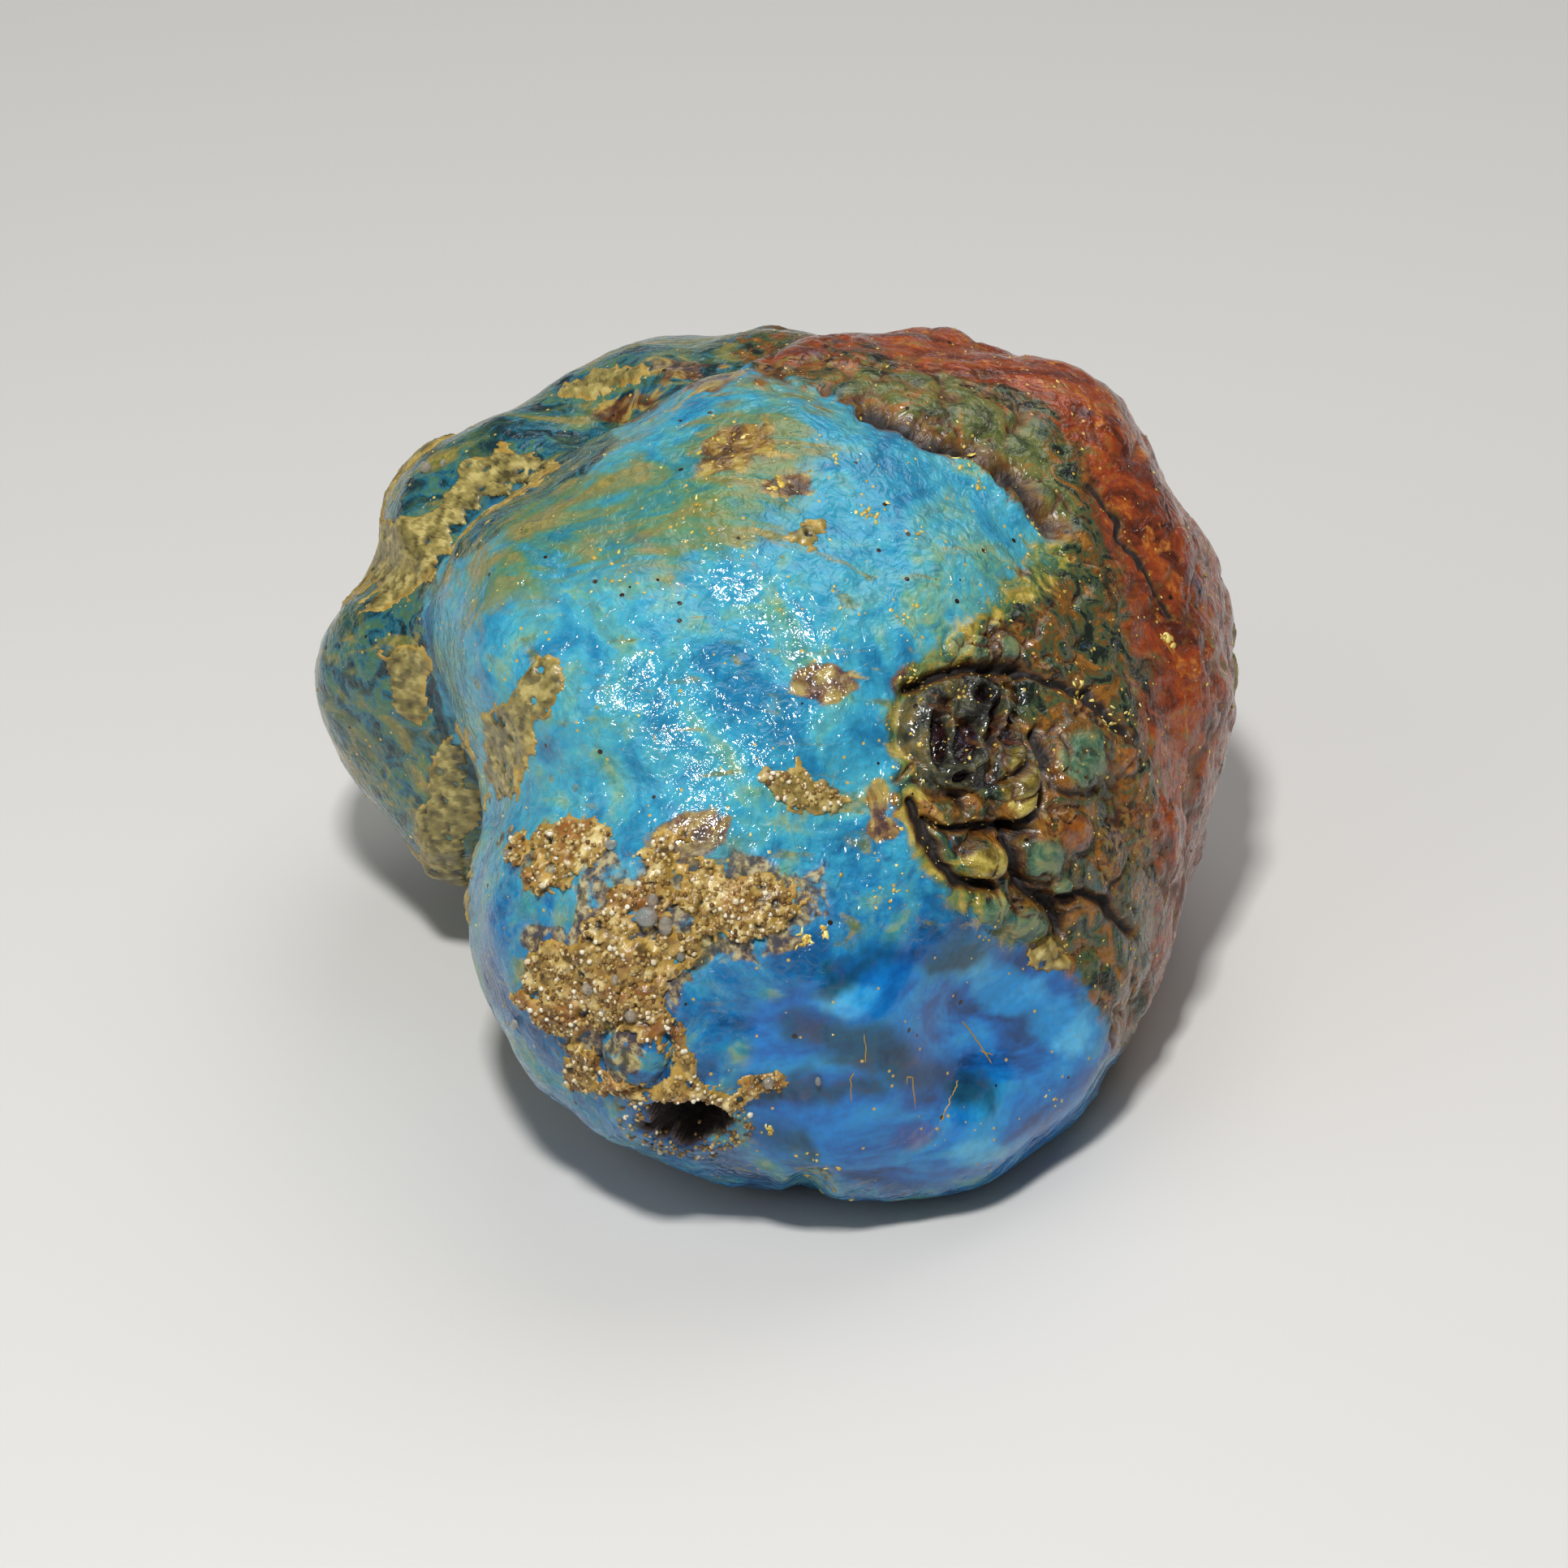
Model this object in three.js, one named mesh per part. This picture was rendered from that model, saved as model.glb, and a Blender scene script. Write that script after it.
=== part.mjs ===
// Rough amber: one natural nodule of blue amber, resin that ran in several thick flows and set as a single piece.
// Millimetres, +Z up, origin on the resting face under the middle of the stone. +Y points to the stone's back.
import * as THREE from 'three';
import { mergeVertices } from 'three/addons/utils/BufferGeometryUtils.js';

// Driving dimensions
const SIGHT_ELEVATION = 33; // degrees above level of the line of sight that the lobes are drawn square to
const REST_DROP = 19.5; // from the heart of the stone down to its resting face
const FUSE = 4.0; // width over which one lobe flows into the next
const HOLLOW_FUSE = 1.6; // the same, at the rim of a hollow
const REST_EDGE = 2.5; // the same, at the edge of the resting face
const REST_SNAP = 0.02; // corners this near to the resting face are on it
const SWELL = 2.15; // 2 gives an elliptical swell, and more gives a fuller one
const LUMP_HEIGHT = 0.35; // low waves all over the skin
const LUMP_LENGTH = 13.0; // from one wave to the next
const SEARCH_FROM = 48.0; // every point of the skin lies nearer to the heart than this
const SEARCH_STEP = 0.5;
const SKIN_TOLERANCE = 1e-4;
const GRID_DETAIL = 15; // rows of facets on each side of the icosahedron that the skin is stretched over
const AMBER_COLOUR = '#2f8fb8';
const AMBER_ROUGHNESS = 0.18;

// Each lobe is a cushion. Its outline is drawn as seen along the line of sight: radii about its centre, the first to
// the right and then anticlockwise in equal steps. front and back say how far it swells towards and away from the eye,
// and lean how much nearer to the eye it comes for each millimetre to the right and up the view.
// A centre is [right, up the view, towards the eye], from the heart of the stone.
const LOBES = {
  frontBoss: {
    centre: [-1.0, -2.9, 2.0],
    outline: [26.2, 26.4, 27.0, 27.2, 24.6, 24.7, 18.2, 21.8, 24.0, 25.3, 28.7, 26.9],
    lean: [-0.24, -0.2],
    front: 22.0,
    back: 20.0,
  },
  leftShoulder: {
    centre: [-20.9, 8.3, -11.0],
    outline: [14.0, 15.0, 15.6, 12.8, 10.2, 6.8, 9.1, 12.0, 13.4, 17.6, 16.0, 14.0],
    lean: [0, 0],
    front: 12.0,
    back: 13.0,
  },
  rightRind: {
    centre: [12.1, 9.4, -9.0],
    outline: [15.7, 14.5, 16.0, 16.2, 19.0, 20.0, 18.0, 16.0, 16.0, 20.0, 22.0, 18.6],
    lean: [0, 0],
    front: 16.0,
    back: 18.0,
  },
  backKnob: {
    centre: [-8.1, 21.6, -14.0],
    outline: [14.0, 9.5, 6.2, 5.4, 5.6, 6.2, 8.0, 9.0, 10.0, 10.0, 12.0, 14.0],
    lean: [0, 0],
    front: 9.0,
    back: 11.0,
  },
  backBody: {
    centre: [-4.0, 4.0, -13.0],
    outline: [18.0, 17.0, 18.0, 19.0, 18.0, 17.0],
    lean: [0, 0],
    front: 12.0,
    back: 15.0,
  },
  backFoot: {
    centre: [2.0, -9.0, -12.0],
    outline: [16.0, 15.0, 14.0, 14.0, 15.0, 15.0],
    lean: [0, 0],
    front: 12.0,
    back: 14.0,
  },
};

// Shallow scoops bitten out of the skin by a ball, at a place on the view: [right, up the view].
const HOLLOWS = {
  lowerWindow: { at: [12.6, -18.0], radius: 20.0, depth: 2.2 },
  budPit: { at: [13.2, 1.6], radius: 8.0, depth: 1.2 },
};

// The view's own axes in the part's frame
const sightAngle = THREE.MathUtils.degToRad(SIGHT_ELEVATION);
const RIGHT = new THREE.Vector3(1, 0, 0);
const UP_VIEW = new THREE.Vector3(0, Math.sin(sightAngle), Math.cos(sightAngle));
const TO_EYE = new THREE.Vector3(0, -Math.cos(sightAngle), Math.sin(sightAngle));

// The outline's radius in a direction, on a smooth closed curve through its radii (Catmull-Rom).
function outlineRadius(outline, angle) {
  const count = outline.length;
  const place = (((angle / (2 * Math.PI)) % 1) + 1) % 1 * count;
  const first = Math.floor(place);
  const t = place - first;
  const [before, from, to, after] = [-1, 0, 1, 2].map((k) => outline[(first + k + count) % count]);
  const bend = 2 * before - 5 * from + 4 * to - after + t * (3 * (from - to) + after - before);
  return from + 0.5 * t * (to - before + t * bend);
}

// How far a point of the view stands outside a lobe, along the line from the lobe's centre.
function outsideLobe(lobe, right, up, near) {
  const x = right - lobe.centre[0];
  const y = up - lobe.centre[1];
  const z = near - lobe.centre[2] - lobe.lean[0] * x - lobe.lean[1] * y;
  const across = Math.hypot(x, y) / outlineRadius(lobe.outline, Math.atan2(y, x));
  const along = Math.abs(z) / (z > 0 ? lobe.front : lobe.back);
  const share = Math.max(Math.hypot(across ** (SWELL / 2), along ** (SWELL / 2)) ** (2 / SWELL), 1e-6);
  const reach = Math.hypot(x, y, z);
  return reach - reach / share;
}

// The lesser of two distances, rounded off over a width where they are near each other.
function fuse(a, b, width) {
  const overlap = Math.max(width - Math.abs(a - b), 0) / width;
  return Math.min(a, b) - (overlap * overlap * width) / 4;
}

function lumps(point) {
  const turn = (2 * Math.PI) / LUMP_LENGTH;
  const wave = Math.sin(turn * point.x + Math.sin(turn * 0.7 * point.z)) * Math.sin(turn * 0.9 * point.y + 1.3);
  return LUMP_HEIGHT * (wave + Math.sin(turn * 0.8 * point.z + Math.sin(turn * 0.6 * point.x)) * 0.6);
}

// How far a place in the view, [right, up, near], stands outside the fused lobes: below zero inside them.
function outsideLobes(place) {
  return Object.values(LOBES)
    .map((lobe) => outsideLobe(lobe, ...place))
    .reduce((gap, next) => fuse(gap, next, FUSE));
}

// The centre of the ball that bites a hollow: above the skin by the radius less the depth, square to the skin there.
function biteCentre({ at, radius, depth }) {
  let near = SEARCH_FROM;
  while (outsideLobes([...at, near]) > 0) near -= SKIN_TOLERANCE * 100;
  const touch = [...at, near];
  const slope = touch.map((_, axis) => {
    const moved = touch.map((value, k) => (k === axis ? value + SEARCH_STEP : value));
    return outsideLobes(moved) - outsideLobes(touch);
  });
  const normal = new THREE.Vector3(...slope).normalize();
  return new THREE.Vector3(...touch).addScaledVector(normal, radius - depth);
}

const bites = Object.values(HOLLOWS).map((hollow) => ({ centre: biteCentre(hollow), radius: hollow.radius }));

// How far a point stands outside the stone's skin: below zero inside it.
function outsideStone(point) {
  const place = [point.dot(RIGHT), point.dot(UP_VIEW), point.dot(TO_EYE)];
  let gap = outsideLobes(place);
  for (const { centre, radius } of bites) {
    const outsideBall = centre.distanceTo(new THREE.Vector3(...place)) - radius;
    gap = -fuse(-gap, outsideBall, HOLLOW_FUSE);
  }
  return -fuse(lumps(point) - gap, point.z + REST_DROP, REST_EDGE);
}

// The distance from the heart to the skin in a direction: steps in from outside, then halves the last step.
function skinDistance(direction) {
  const point = new THREE.Vector3();
  const outside = (reach) => outsideStone(point.copy(direction).multiplyScalar(reach)) > 0;
  let inner = SEARCH_FROM;
  while (outside(inner)) inner -= SEARCH_STEP;
  let outer = inner + SEARCH_STEP;
  while (outer - inner > SKIN_TOLERANCE) {
    const middle = (inner + outer) / 2;
    if (outside(middle)) outer = middle;
    else inner = middle;
  }
  return inner;
}

// An even ball of facets whose corners are drawn out to the skin, with the resting face at z = 0.
function nodule() {
  const ball = new THREE.IcosahedronGeometry(1, GRID_DETAIL);
  ball.deleteAttribute('normal');
  ball.deleteAttribute('uv');
  const geometry = mergeVertices(ball);
  const corners = geometry.attributes.position;
  const direction = new THREE.Vector3();
  for (let i = 0; i < corners.count; i++) {
    direction.fromBufferAttribute(corners, i).normalize();
    direction.multiplyScalar(skinDistance(direction));
    const rests = direction.z + REST_DROP < REST_SNAP;
    corners.setXYZ(i, direction.x, direction.y, rests ? 0 : direction.z + REST_DROP);
  }
  geometry.computeBoundingBox();
  const middle = geometry.boundingBox.getCenter(new THREE.Vector3());
  geometry.translate(-middle.x, -middle.y, 0);
  geometry.computeVertexNormals();
  return geometry;
}

const amber = new THREE.Mesh(
  nodule(),
  new THREE.MeshStandardMaterial({ color: AMBER_COLOUR, roughness: AMBER_ROUGHNESS, metalness: 0 }),
);
amber.name = 'amber_nodule';

const roughAmber = new THREE.Group();
roughAmber.add(amber);

export default roughAmber;
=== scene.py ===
"""Rough blue amber on a pale floor: the stone's fine skin, sandy crust, flakes, beads and sealed threads.

Lengths are in millimetres in the row frame until a mesh is put in, where they become metres. Places on the
stone are named by the pixel of the 1932 by 1932 photograph at which they show, and each is carried onto the
skin behind it.
"""
import math

import bpy
import numpy as np
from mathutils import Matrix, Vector


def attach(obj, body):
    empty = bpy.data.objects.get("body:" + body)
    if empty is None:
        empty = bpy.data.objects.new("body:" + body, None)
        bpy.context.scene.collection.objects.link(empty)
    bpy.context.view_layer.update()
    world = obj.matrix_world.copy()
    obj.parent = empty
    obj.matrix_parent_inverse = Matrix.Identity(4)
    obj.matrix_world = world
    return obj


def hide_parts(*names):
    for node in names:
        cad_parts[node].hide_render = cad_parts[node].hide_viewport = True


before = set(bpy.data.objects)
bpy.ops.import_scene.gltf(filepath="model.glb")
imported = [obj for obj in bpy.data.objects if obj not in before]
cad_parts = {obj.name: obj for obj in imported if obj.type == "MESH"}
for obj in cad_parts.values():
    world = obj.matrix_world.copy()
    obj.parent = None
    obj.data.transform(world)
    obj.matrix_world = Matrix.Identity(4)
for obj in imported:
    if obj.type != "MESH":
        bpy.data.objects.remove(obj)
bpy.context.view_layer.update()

MM = 0.001
BODY = "root"
NODE = "amber_nodule"
AMBER_IOR = 1.54
QUARTZ_IOR = 1.54

# The view
PHOTO_SIDE = 1932
STONE_ON_PHOTO = (390, 413, 1518, 1477)  # left, top, right and bottom of the stone's outline
LENS = 135.0
SENSOR = 36.0
CLIP = (0.01, 20.0)  # metres
SIGHT_ELEVATION = math.radians(33.0)
RIGHT = np.array([1.0, 0.0, 0.0])
UP_VIEW = np.array([0.0, math.sin(SIGHT_ELEVATION), math.cos(SIGHT_ELEVATION)])
TO_EYE = np.array([0.0, -math.cos(SIGHT_ELEVATION), math.sin(SIGHT_ELEVATION)])
PIXEL = 0.0532  # millimetres of the stone across one pixel
GLINT_AT = (830, 900)  # the middle of the glints on the boss, and how far round it they lie, in pixels
GLINT_REACH = 130
FLOOR_REACH = 3.0  # metres from the stone to each side of the floor
KEY_DISTANCE = 420.0
KEY_SIZE = 45.0
KEY_POWER = 1.8  # watts
# Place, size and power of the lamps that soften the shadows
FILL_LAMPS = {
    "fill_left": ((-420.0, -250.0, 380.0), 400.0, 0.55),
    "fill_top": ((120.0, 260.0, 520.0), 450.0, 1.15),
}
SKY_STRENGTH = 0.15

# The skin
HEART = np.array([1.27, -1.78, 19.5])  # a point inside, from which every point of the skin is in plain sight
SKIN_CELLS = 128  # cells along each side of the skin's six square grids
CLOSE_LOOK = 1.9  # how many times closer together the corners are where the stone faces the eye
CLOSE_LOOK_AT = np.array([0.12, 0.02, 1.0])  # right, up the view, towards the eye
WAVES = ((0.30, 5.5, 21), (0.17, 2.4, 22), (0.07, 1.1, 23))  # height, spacing and seed of the low waves
GROOVE_WIDTH = 13.0  # half the groove's width in pixels
GROOVE_DEPTH = 1.3
REST_FADE = 1.6  # the relief dies away over this height above the resting face

# Where the stone's zones meet, as lines of pixels
BLUE_EDGE = [
    (905, 300), (905, 400), (935, 472), (1080, 514), (1200, 562), (1290, 648), (1262, 722), (1200, 778),
    (1135, 830), (1112, 900), (1118, 985), (1150, 1060), (1190, 1105), (1290, 1165), (1345, 1240),
    (1392, 1320), (1350, 1420), (1330, 1500), (1750, 1500), (1750, 300),
]
BLUE_EDGE_BEHIND = [(905, 300), (905, 400), (1330, 1500), (1750, 1500), (1750, 300)]
RIND_EDGE = [
    (925, 300), (925, 440), (1000, 452), (1100, 456), (1200, 472), (1290, 520), (1340, 600), (1372, 700),
    (1388, 800), (1402, 900), (1402, 1000), (1425, 1100), (1405, 1200), (1400, 1320), (1750, 1320),
    (1750, 300),
]
RIND_EDGE_BEHIND = [(980, 300), (980, 400), (1400, 1320), (1750, 1320), (1750, 300)]
SHOULDER_EDGE = [
    (700, 610), (560, 690), (525, 750), (540, 850), (590, 960), (580, 1130), (560, 1250), (300, 1250),
    (300, 450), (560, 500), (690, 470), (760, 540),
]
WINDOW_EDGE = [
    (925, 1225), (1010, 1180), (1080, 1155), (1180, 1145), (1280, 1166), (1340, 1215), (1372, 1290),
    (1362, 1365), (1310, 1420), (1210, 1462), (1080, 1480), (1000, 1450), (930, 1420), (905, 1340),
]
TOP_FILM_EDGE = [
    (560, 700), (640, 620), (760, 560), (880, 490), (1000, 470), (1030, 560), (985, 640), (900, 690),
    (780, 700), (650, 735), (575, 760),
]
SANDY_FRONT = [
    (620, 1035), (710, 1005), (770, 1060), (830, 1015), (900, 1050), (1000, 1075), (1020, 1130),
    (960, 1180), (880, 1200), (820, 1260), (760, 1350), (690, 1300), (635, 1250), (650, 1180),
    (710, 1140),
]
# The groove along this line is cut in and, through the crack share, painted near black: painted shade in it
DARK_GROOVE = [(1070, 503), (1120, 526), (1173, 544), (1206, 556), (1247, 582), (1300, 650)]
OLIVE_BAND = [
    (985, 462), (1100, 460), (1200, 476), (1275, 520), (1320, 600), (1325, 660), (1290, 640), (1240, 575),
    (1180, 540), (1090, 505),
]
FRINGE = [
    (1290, 690), (1200, 785), (1135, 835), (1110, 900), (1116, 985), (1150, 1060), (1190, 1108),
    (1280, 1160),
]

# Zones in sight only: the edge, where the share begins and is full in pixels inside it, and how ragged it is
SEEN_ZONES = {
    "window": (WINDOW_EDGE, -22.0, 40.0, 0.7),
    "shoulder": (SHOULDER_EDGE, -10.0, 14.0, 0.0),
    "film": (TOP_FILM_EDGE, -60.0, 70.0, 1.0),
    "sand": (SANDY_FRONT, -24.0, 20.0, 1.4),
    "olive": (OLIVE_BAND, -16.0, 18.0, 0.8),
}
# Zones that run on behind: the edge in sight, the edge behind, and half the pixels that they fade over
ROUND_ZONES = {"flank": (BLUE_EDGE, BLUE_EDGE_BEHIND, 24.0), "rind": (RIND_EDGE, RIND_EDGE_BEHIND, 46.0)}
RAGGED = 26.0  # pixels that ripples move an edge by
FRINGE_WIDTH = 26.0  # half the fringe's width in pixels
DEEP_BLUE = (900.0, 1280.0)  # pixels down between which the blue deepens
FILM_BEHIND = 0.45  # share of the film on the far side

# Soft dark bands in the smooth window: the brow's is painted shadow under the brow, the others are smoky
# bands in the resin. Pixels along each, then half its width in pixels
SMOKE_AND_SHADOW = {
    "brow_shadow": ([(1005, 1205), (1040, 1186), (1090, 1168), (1140, 1156), (1190, 1152)], 19),
    "middle": ([(985, 1264), (1050, 1284), (1105, 1304), (1150, 1326), (1185, 1328)], 20),
    "lower": ([(950, 1356), (1010, 1347), (1065, 1333)], 14),
    "left": ([(930, 1402), (985, 1412)], 16),
}

# Ovals of colour: centre pixel, half width and half height in pixels, lean in degrees
RUST_SPOTS = [
    ((905, 548), 66, 34, 12), ((1015, 842), 46, 30, 0), ((850, 1030), 56, 36, 10),
    ((1125, 838), 34, 26, 20), ((965, 598), 34, 14, 0), ((1150, 1050), 22, 46, 24),
    ((1085, 985), 18, 40, 0), ((855, 462), 76, 22, 4), ((775, 505), 60, 20, 14),
    ((1090, 1020), 30, 18, 0),
]
GLOW_SPOTS = [
    ((1240, 1218), 62, 46, -10), ((1305, 1262), 54, 50, 0), ((1050, 1232), 60, 24, 10),
    ((930, 1440), 46, 30, 0), ((1200, 1425), 60, 26, 0),
]
VIOLET_SPOTS = [((1135, 1398), 52, 30, 10), ((980, 1352), 44, 18, 10), ((1100, 1302), 40, 18, -10)]

KNOB_MOAT = 1.08  # where a knob's moat runs, and half its width, as shares of the knob
MOAT_WIDTH = 0.13
POCKET_RIM = 1.2  # where a pocket's raised rim runs, and half its width, as shares of the pocket
POCKET_RIM_WIDTH = 0.24
POCKET_RIM_HEIGHT = 0.38
WRINKLE_PITCH = 7.0  # pixels for each radian of a wrinkle's wave
WRINKLE_HEIGHT = 0.14

# Cracks across the flank: pixels along each, then its width and depth in millimetres
CRACKS = {
    "over_the_bud": ([(1120, 846), (1150, 836), (1180, 828), (1222, 822), (1256, 824)], 0.35, 0.8),
    "over_the_bud_right": ([(1256, 830), (1290, 842), (1335, 856), (1385, 905)], 0.40, 0.7),
    "right_of_the_pear": ([(1277, 905), (1284, 935), (1285, 965), (1277, 995), (1252, 1017)], 0.42, 1.2),
    "under_the_bud": ([(1140, 1014), (1165, 1020), (1198, 1018), (1252, 1020)], 0.34, 0.9),
    "left_crevice": ([(1120, 990), (1138, 1030), (1160, 1066), (1182, 1088), (1220, 1092)], 0.40, 0.8),
    "between_nodules": ([
        (1243, 1022), (1246, 1060), (1250, 1086), (1272, 1100), (1298, 1116), (1310, 1150),
    ], 0.42, 1.1),
    "towards_the_rind": ([(1300, 1104), (1335, 1102), (1365, 1112), (1392, 1150)], 0.36, 0.8),
    "rind_seam": ([(1340, 600), (1378, 640), (1400, 700), (1440, 760)], 0.28, 0.3),
}

# Rounded knobs: centre pixel, half width and half height in pixels, lean in degrees, height in millimetres
KNOBS = {
    "bud_body": ((1182, 902), 70, 74, 14, 1.0),
    "bud_pear": ((1244, 964), 31, 60, 23, 0.9),
    "gold_nodule": ((1208, 1056), 30, 27, 20, 1.0),
    "green_nodule": ((1276, 1054), 32, 31, 0, 0.8),
    "teal_nodule": ((1301, 1090), 14, 17, 0, 0.6),
    "lower_green": ((1220, 1118), 24, 24, 0, 0.6),
    "lower_teal": ((1266, 1134), 32, 24, -10, 0.6),
    "glassy_bubble": ((1206, 806), 22, 22, 0, 0.6),
    "left_bubble": ((1178, 796), 15, 19, 0, 0.45),
    "right_bubble": ((1237, 802), 18, 24, 0, 0.45),
    "olive_cobble": ((1326, 932), 40, 44, 10, 0.6),
    "far_cobble": ((1384, 937), 20, 20, 0, 0.5),
    "orange_cobble": ((1317, 1024), 28, 30, 30, 0.5),
    "blue_toe": ((782, 1297), 42, 37, 0, 1.0),
}

TINTED_KNOBS = {
    "golden": ("gold_nodule", "bud_pear"),
    "orange": ("orange_cobble", "far_cobble"),
    "teal": (
        "green_nodule", "teal_nodule", "lower_green", "lower_teal", "glassy_bubble", "left_bubble",
        "right_bubble", "olive_cobble",
    ),
}

# Pockets sunk in the bud and in the groove, as knobs, with their depth last
POCKETS = {
    "groove_upper": ((1204, 558), 18, 11, -32, 0.8),
    "groove_lower": ((1236, 588), 12, 18, 30, 0.8),
    "groove_start": ((1136, 530), 16, 8, -20, 0.6),
    "left": ((1150, 912), 12, 36, 4, 0.8),
    "middle": ((1178, 914), 17, 29, -8, 0.8),
    "diagonal": ((1209, 888), 11, 34, -18, 0.8),
    "right": ((1234, 900), 14, 29, -24, 0.8),
    "top": ((1198, 858), 12, 13, 0, 0.5),
    "top_left": ((1154, 868), 11, 9, 0, 0.4),
    "top_right": ((1246, 858), 12, 20, 10, 0.6),
    "bottom": ((1176, 956), 12, 10, 0, 0.5),
}
CAVITY = ((845, 1382), 56, 30, -4, 3.6)  # as a knob, and the last value is its depth
TOE_NOTCH = ((1000, 1462), 42, 24, 8, 0.9)

# Patches of cemented sand: pixels round each, then thickness, grain height and grain spacing in millimetres
CRUSTS = {
    "crust_shoulder": ([
        (455, 670), (500, 640), (545, 630), (575, 570), (610, 555), (660, 560), (680, 570), (640, 605),
        (590, 640), (555, 672), (530, 715), (500, 735), (440, 760), (470, 720), (460, 690),
    ], 0.26, 0.07, 0.36),
    "crust_shoulder_low": ([(470, 810), (520, 800), (520, 885), (490, 880)], 0.22, 0.07, 0.36),
    "crust_crevice": ([
        (505, 1030), (540, 940), (570, 900), (590, 980), (580, 1100), (570, 1150), (520, 1060),
    ], 0.26, 0.08, 0.40),
    "crust_boss_left": ([
        (605, 880), (640, 850), (660, 810), (690, 810), (700, 850), (660, 890), (640, 975), (605, 980),
        (600, 920),
    ], 0.24, 0.07, 0.36),
    "crust_front_left": ([
        (623, 1040), (665, 1019), (710, 1010), (746, 1019), (743, 1058), (704, 1079), (665, 1112),
        (644, 1079), (629, 1058),
    ], 0.30, 0.20, 0.60),
    "crust_front": ([
        (734, 1121), (770, 1097), (800, 1073), (818, 1022), (848, 1019), (860, 1040), (878, 1076),
        (944, 1082), (989, 1070), (1001, 1109), (980, 1136), (902, 1160), (869, 1148), (860, 1166),
        (875, 1190), (830, 1211), (812, 1241), (758, 1241), (734, 1226), (704, 1259), (680, 1262),
        (647, 1241), (635, 1226), (650, 1208), (659, 1178), (689, 1160), (719, 1160), (731, 1139),
    ], 0.32, 0.24, 0.66),
    "crust_toe": ([
        (690, 1265), (740, 1245), (800, 1240), (850, 1270), (860, 1320), (900, 1350), (960, 1325),
        (960, 1340), (900, 1368), (840, 1350), (800, 1348), (770, 1352), (720, 1335), (695, 1300),
        (733, 1290), (745, 1320), (790, 1336), (826, 1318), (820, 1275), (780, 1258), (735, 1268),
    ], 0.24, 0.20, 0.55),
    "crust_top_chip": ([
        (965, 660), (985, 645), (1010, 640), (1015, 655), (1000, 668), (975, 672),
    ], 0.32, 0.08, 0.40),
    "crust_boss_right": ([
        (940, 955), (980, 945), (1010, 960), (1040, 985), (1030, 1000), (990, 1000), (960, 985),
    ], 0.24, 0.14, 0.50),
    "crust_back_top": ([
        (690, 480), (720, 462), (760, 455), (800, 462), (770, 480), (720, 488),
    ], 0.24, 0.08, 0.40),
    "crust_window": ([
        (1270, 1170), (1300, 1165), (1310, 1185), (1290, 1195), (1272, 1185),
    ], 0.16, 0.14, 0.40),
    "crust_bud": ([(1124, 985), (1140, 980), (1152, 995), (1150, 1010), (1132, 1010)], 0.20, 0.20, 0.50),
}
# The same away from the photograph: the way from the heart, then the patch's radius in millimetres
CRUSTS_BEHIND = {
    "crust_far_left": ((-0.80, 0.55, 0.15), 5.5, 0.26, 0.08, 0.40),
    "crust_far_back": ((0.10, 0.95, 0.10), 7.0, 0.26, 0.08, 0.40),
    "crust_far_foot": ((-0.45, 0.75, -0.35), 4.5, 0.28, 0.18, 0.60),
    "crust_far_right": ((0.85, 0.45, -0.10), 4.0, 0.24, 0.10, 0.45),
}
CRUST_PITCH = 0.13  # between the corners of a crust's mesh
CRUST_ROUNDING = 0.55  # width over which a crust's rim is rounded off
PORE_SPACING = 1.3
PORE_DEPTH = 0.32
CRUST_ROOT = 0.3  # how far a crust's underside lies under the skin
FLAKE_THICKNESS = 0.03
SAND_GRAINS = 1500
RIM_GRAINS = 160  # round the cavity

# Beads of clear resin: centre pixel and radius in pixels
BEADS = [
    ((755, 1040), 8), ((800, 1126), 17), ((822, 1138), 13), ((806, 1108), 10), ((729, 1214), 10),
    ((780, 1247), 12), ((636, 1260), 7), ((947, 1331), 9), ((530, 580), 9), ((548, 572), 6),
    ((630, 1050), 7), ((760, 1204), 8), ((745, 1243), 6), ((702, 1194), 6), ((840, 1176), 7),
    ((1008, 1330), 6),
]

# Yellow flakes: middle pixel, how far strewn in pixels, how many, and their size in millimetres
FLAKES = [
    ((1030, 564), 7, 7, 0.5), ((1080, 635), 16, 16, 0.6), ((1132, 655), 8, 6, 0.5),
    ((1186, 562), 16, 12, 0.7), ((1206, 597), 10, 8, 0.6), ((1282, 643), 10, 8, 0.6),
    ((959, 597), 9, 9, 0.7), ((1435, 790), 8, 9, 0.8), ((1000, 1160), 18, 14, 0.7),
    ((946, 1391), 9, 10, 0.5), ((1020, 1455), 26, 16, 0.6), ((1328, 858), 12, 12, 0.6),
    ((1368, 890), 12, 12, 0.5), ((1388, 880), 8, 7, 0.4), ((1128, 838), 20, 20, 0.5),
    ((820, 1500), 4, 2, 0.3), ((1110, 760), 26, 14, 0.4), ((860, 640), 26, 12, 0.5),
    ((760, 700), 26, 10, 0.5), ((1290, 1358), 12, 6, 0.4), ((1220, 1150), 12, 6, 0.4),
    ((700, 1020), 20, 8, 0.3), ((905, 560), 40, 16, 0.5), ((1095, 1110), 20, 10, 0.5),
]
LOOSE_FLAKES = 1100

# Threads half sealed in the window, as lines of pixels, with the radius in millimetres
THREADS = {
    "long": ([(1185, 1257), (1196, 1272), (1214, 1298), (1222, 1311)], 0.05),
    "upper_left": ([(1064, 1273), (1067, 1290), (1067, 1310)], 0.04),
    "left": ([(1052, 1322), (1048, 1330), (1050, 1359)], 0.04),
    "hook": ([(1118, 1336), (1118, 1328), (1124, 1328), (1128, 1369)], 0.05),
    "right": ([(1181, 1330), (1176, 1345), (1166, 1365), (1154, 1397)], 0.05),
    "short": ([(1224, 1300), (1208, 1296)], 0.035),
}


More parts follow.
